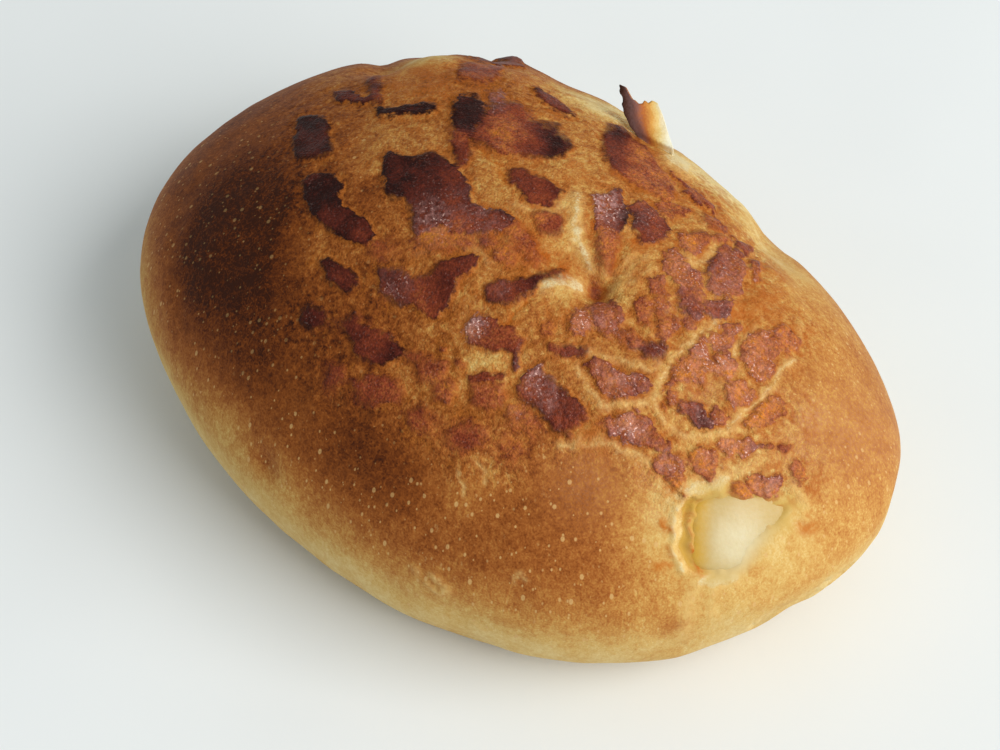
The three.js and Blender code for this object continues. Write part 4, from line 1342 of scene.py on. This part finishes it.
    # painted glints: light specks where the plates shine
    paintedGlints = spread(tree, grain(tree, place, 0.36, 2.0), 0.56, 0.7)
    paintedGlints = times(tree, paintedGlints, spread(tree, blotch, 0.42, 0.62, 0.15, 1.0))
    paintedGlints = times(tree, paintedGlints, linear(tree, shine, 0.9, 0.08))
    plates = mixColour(tree, paintedGlints, plates, crustColour("paintedGlint"))
    grit = spread(tree, grain(tree, place, 0.5, 2.0), 0.3, 0.7, *crustFinish["grit"])
    plates = mixColour(tree, 1.0, plates, grit, "MULTIPLY")
    base = mixColour(tree, film, under, plates)
    # the standing flake, dark on its baked side and cream where it tore, with a painted sheen in
    # its lilac-grey band and painted light lifting its colours
    flakePlace = attribute(tree, "flake")
    flakeTone = stir(tree, stir(tree, flakePlace, blotch, 0.2), fine, 0.12)
    flakeColour = colourRamp(tree, flakeTone, crustFinish["flakeStops"])
    base = mixColour(tree, spread(tree, flakePlace, -0.6, -0.4), base, flakeColour)
    tree.links.new(base, shader.inputs["Base Color"])
    # satin film with small glints
    rough = spread(tree, film, 0.0, 1.0, crustFinish["doughRough"], crustFinish["filmRough"])
    tree.links.new(rough, shader.inputs["Roughness"])
    satin = times(tree, linear(tree, shine, 0.85, 0.06), linear(tree, film, 0.7, 0.3))
    tree.links.new(times(tree, satin, crustFinish["sheen"]), shader.inputs["Coat Weight"])
    shader.inputs["Coat Roughness"].default_value = crustFinish["sheenRough"]
    shader.inputs["Specular IOR Level"].default_value = crustFinish["gloss"]
    # fine relief, calmer on veins and melted dough
    height = linear(tree, fibres, 0.6, times(tree, fine, 0.5))
    height = times(tree, height, linear(tree, crust, 0.65, 0.35))
    height = linear(tree, film, 0.25, height)
    calm = calc(tree, "MAXIMUM", times(tree, pale, 0.4), times(tree, melted, 0.85))
    bumps(tree, shader, times(tree, height, rest(tree, calm)), *crustFinish["bump"])
    return finish


def makeCheeseFinish():
    finish, tree, shader = newFinish("meltedCheese")
    place = addNode(tree, "ShaderNodeTexCoord").outputs["Object"]
    cream, butter, golden = [colour(*cheeseFinish[name]) for name in ("cream", "butter", "open")]
    bare = attribute(tree, "open")
    # cream in the middle, butter and golden towards the open side: partly own colour, partly
    # painted light and shade
    core = times(tree, attribute(tree, "core"), linear(tree, bare, -0.8, 1.0))
    core = stir(tree, core, grain(tree, place, 3.5), 0.3)
    core = stir(tree, core, grain(tree, place, 0.6, 2.0), 0.25)
    base = mixColour(tree, core, mixColour(tree, bare, butter, golden), cream)
    tree.links.new(base, shader.inputs["Base Color"])
    shader.inputs["Roughness"].default_value = cheeseFinish["rough"]
    shader.inputs["Subsurface Weight"].default_value = cheeseFinish["clear"]
    shader.inputs["Subsurface Radius"].default_value = cheeseFinish["clearDepth"]
    shader.inputs["Subsurface Scale"].default_value = cheeseFinish["clearScale"]
    bumps(tree, shader, grain(tree, place, 0.7), *cheeseFinish["bump"])
    return finish


# sizes in m
studio = {
    "floorSize": 4.0,
    "floorColour": (233, 236, 237),
    "floorShade": 3,    # how much darker its clouds are
    "floorRough": 0.7,
    "keyPower": 36.0,
    "keySize": 1.5,
    "keyWay": (0.90, 0.17, 0.75),
    "keyDistance": 1.8,
    "keyColour": (1.0, 0.985, 0.95),
    "skyColour": (0.80, 0.862, 0.872),
    "skyStrength": 0.55,
}


def makeStudio():
    side = studio["floorSize"] / 2
    mesh = bpy.data.meshes.new("paleFloor")
    corners = [(-side, -side, 0), (side, -side, 0), (side, side, 0), (-side, side, 0)]
    mesh.from_pydata(corners, [], [(0, 1, 2, 3)])
    floor = bpy.data.objects.new("paleFloor", mesh)
    bpy.context.scene.collection.objects.link(floor)
    finish, tree, shader = newFinish("palePaper")
    place = addNode(tree, "ShaderNodeTexCoord").outputs["Object"]
    tone = spread(tree, grain(tree, place, 60, 2.0), 0.3, 0.7)
    shade = [c - studio["floorShade"] for c in studio["floorColour"]]
    base = mixColour(tree, tone, colour(*studio["floorColour"]), colour(*shade))
    tree.links.new(base, shader.inputs["Base Color"])
    shader.inputs["Roughness"].default_value = studio["floorRough"]
    mesh.materials.append(finish)
    world = bpy.data.worlds.new("softRoom")
    bpy.context.scene.world = world
    world.use_nodes = True
    sky = world.node_tree.nodes["Background"]
    sky.inputs["Color"].default_value = (*studio["skyColour"], 1)
    sky.inputs["Strength"].default_value = studio["skyStrength"]
    key = bpy.data.lights.new("windowLight", "AREA")
    key.energy, key.size, key.color = studio["keyPower"], studio["keySize"], studio["keyColour"]
    lamp = bpy.data.objects.new("windowLight", key)
    way = Vector(studio["keyWay"]).normalized()
    lamp.location = way * studio["keyDistance"]
    lamp.rotation_euler = way.to_track_quat("Z", "Y").to_euler()
    bpy.context.scene.collection.objects.link(lamp)
    bpy.context.scene.view_settings.view_transform = "Standard"
    print("studio: floor, window light, soft room")


def makeCamera():
    lens = bpy.data.cameras.new("photoCamera")
    lens.lens, lens.sensor_width = picture["lens"], picture["sensor"]
    lens.clip_start, lens.clip_end = 0.01, 20
    camera = bpy.data.objects.new("photoCamera", lens)
    axes = Matrix([photoSight["right"], photoSight["up"], photoSight["back"]]).transposed().to_4x4()
    camera.matrix_world = Matrix.Translation(Vector((photoSight["eye"] - rollCentre) * mm)) @ axes
    bpy.context.scene.collection.objects.link(camera)
    bpy.context.scene.camera = camera
    print("camera at", [round(v, 3) for v in camera.location])


makeCamera()
bread = makeBread()
bread.data.materials.append(makeCrustFinish())
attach(bread, "root")
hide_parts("bread")
cheese = makeCheese()
cheese.data.materials.append(makeCheeseFinish())
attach(cheese, "root")
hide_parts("cheese")
makeStudio()

bpy.context.view_layer.update()
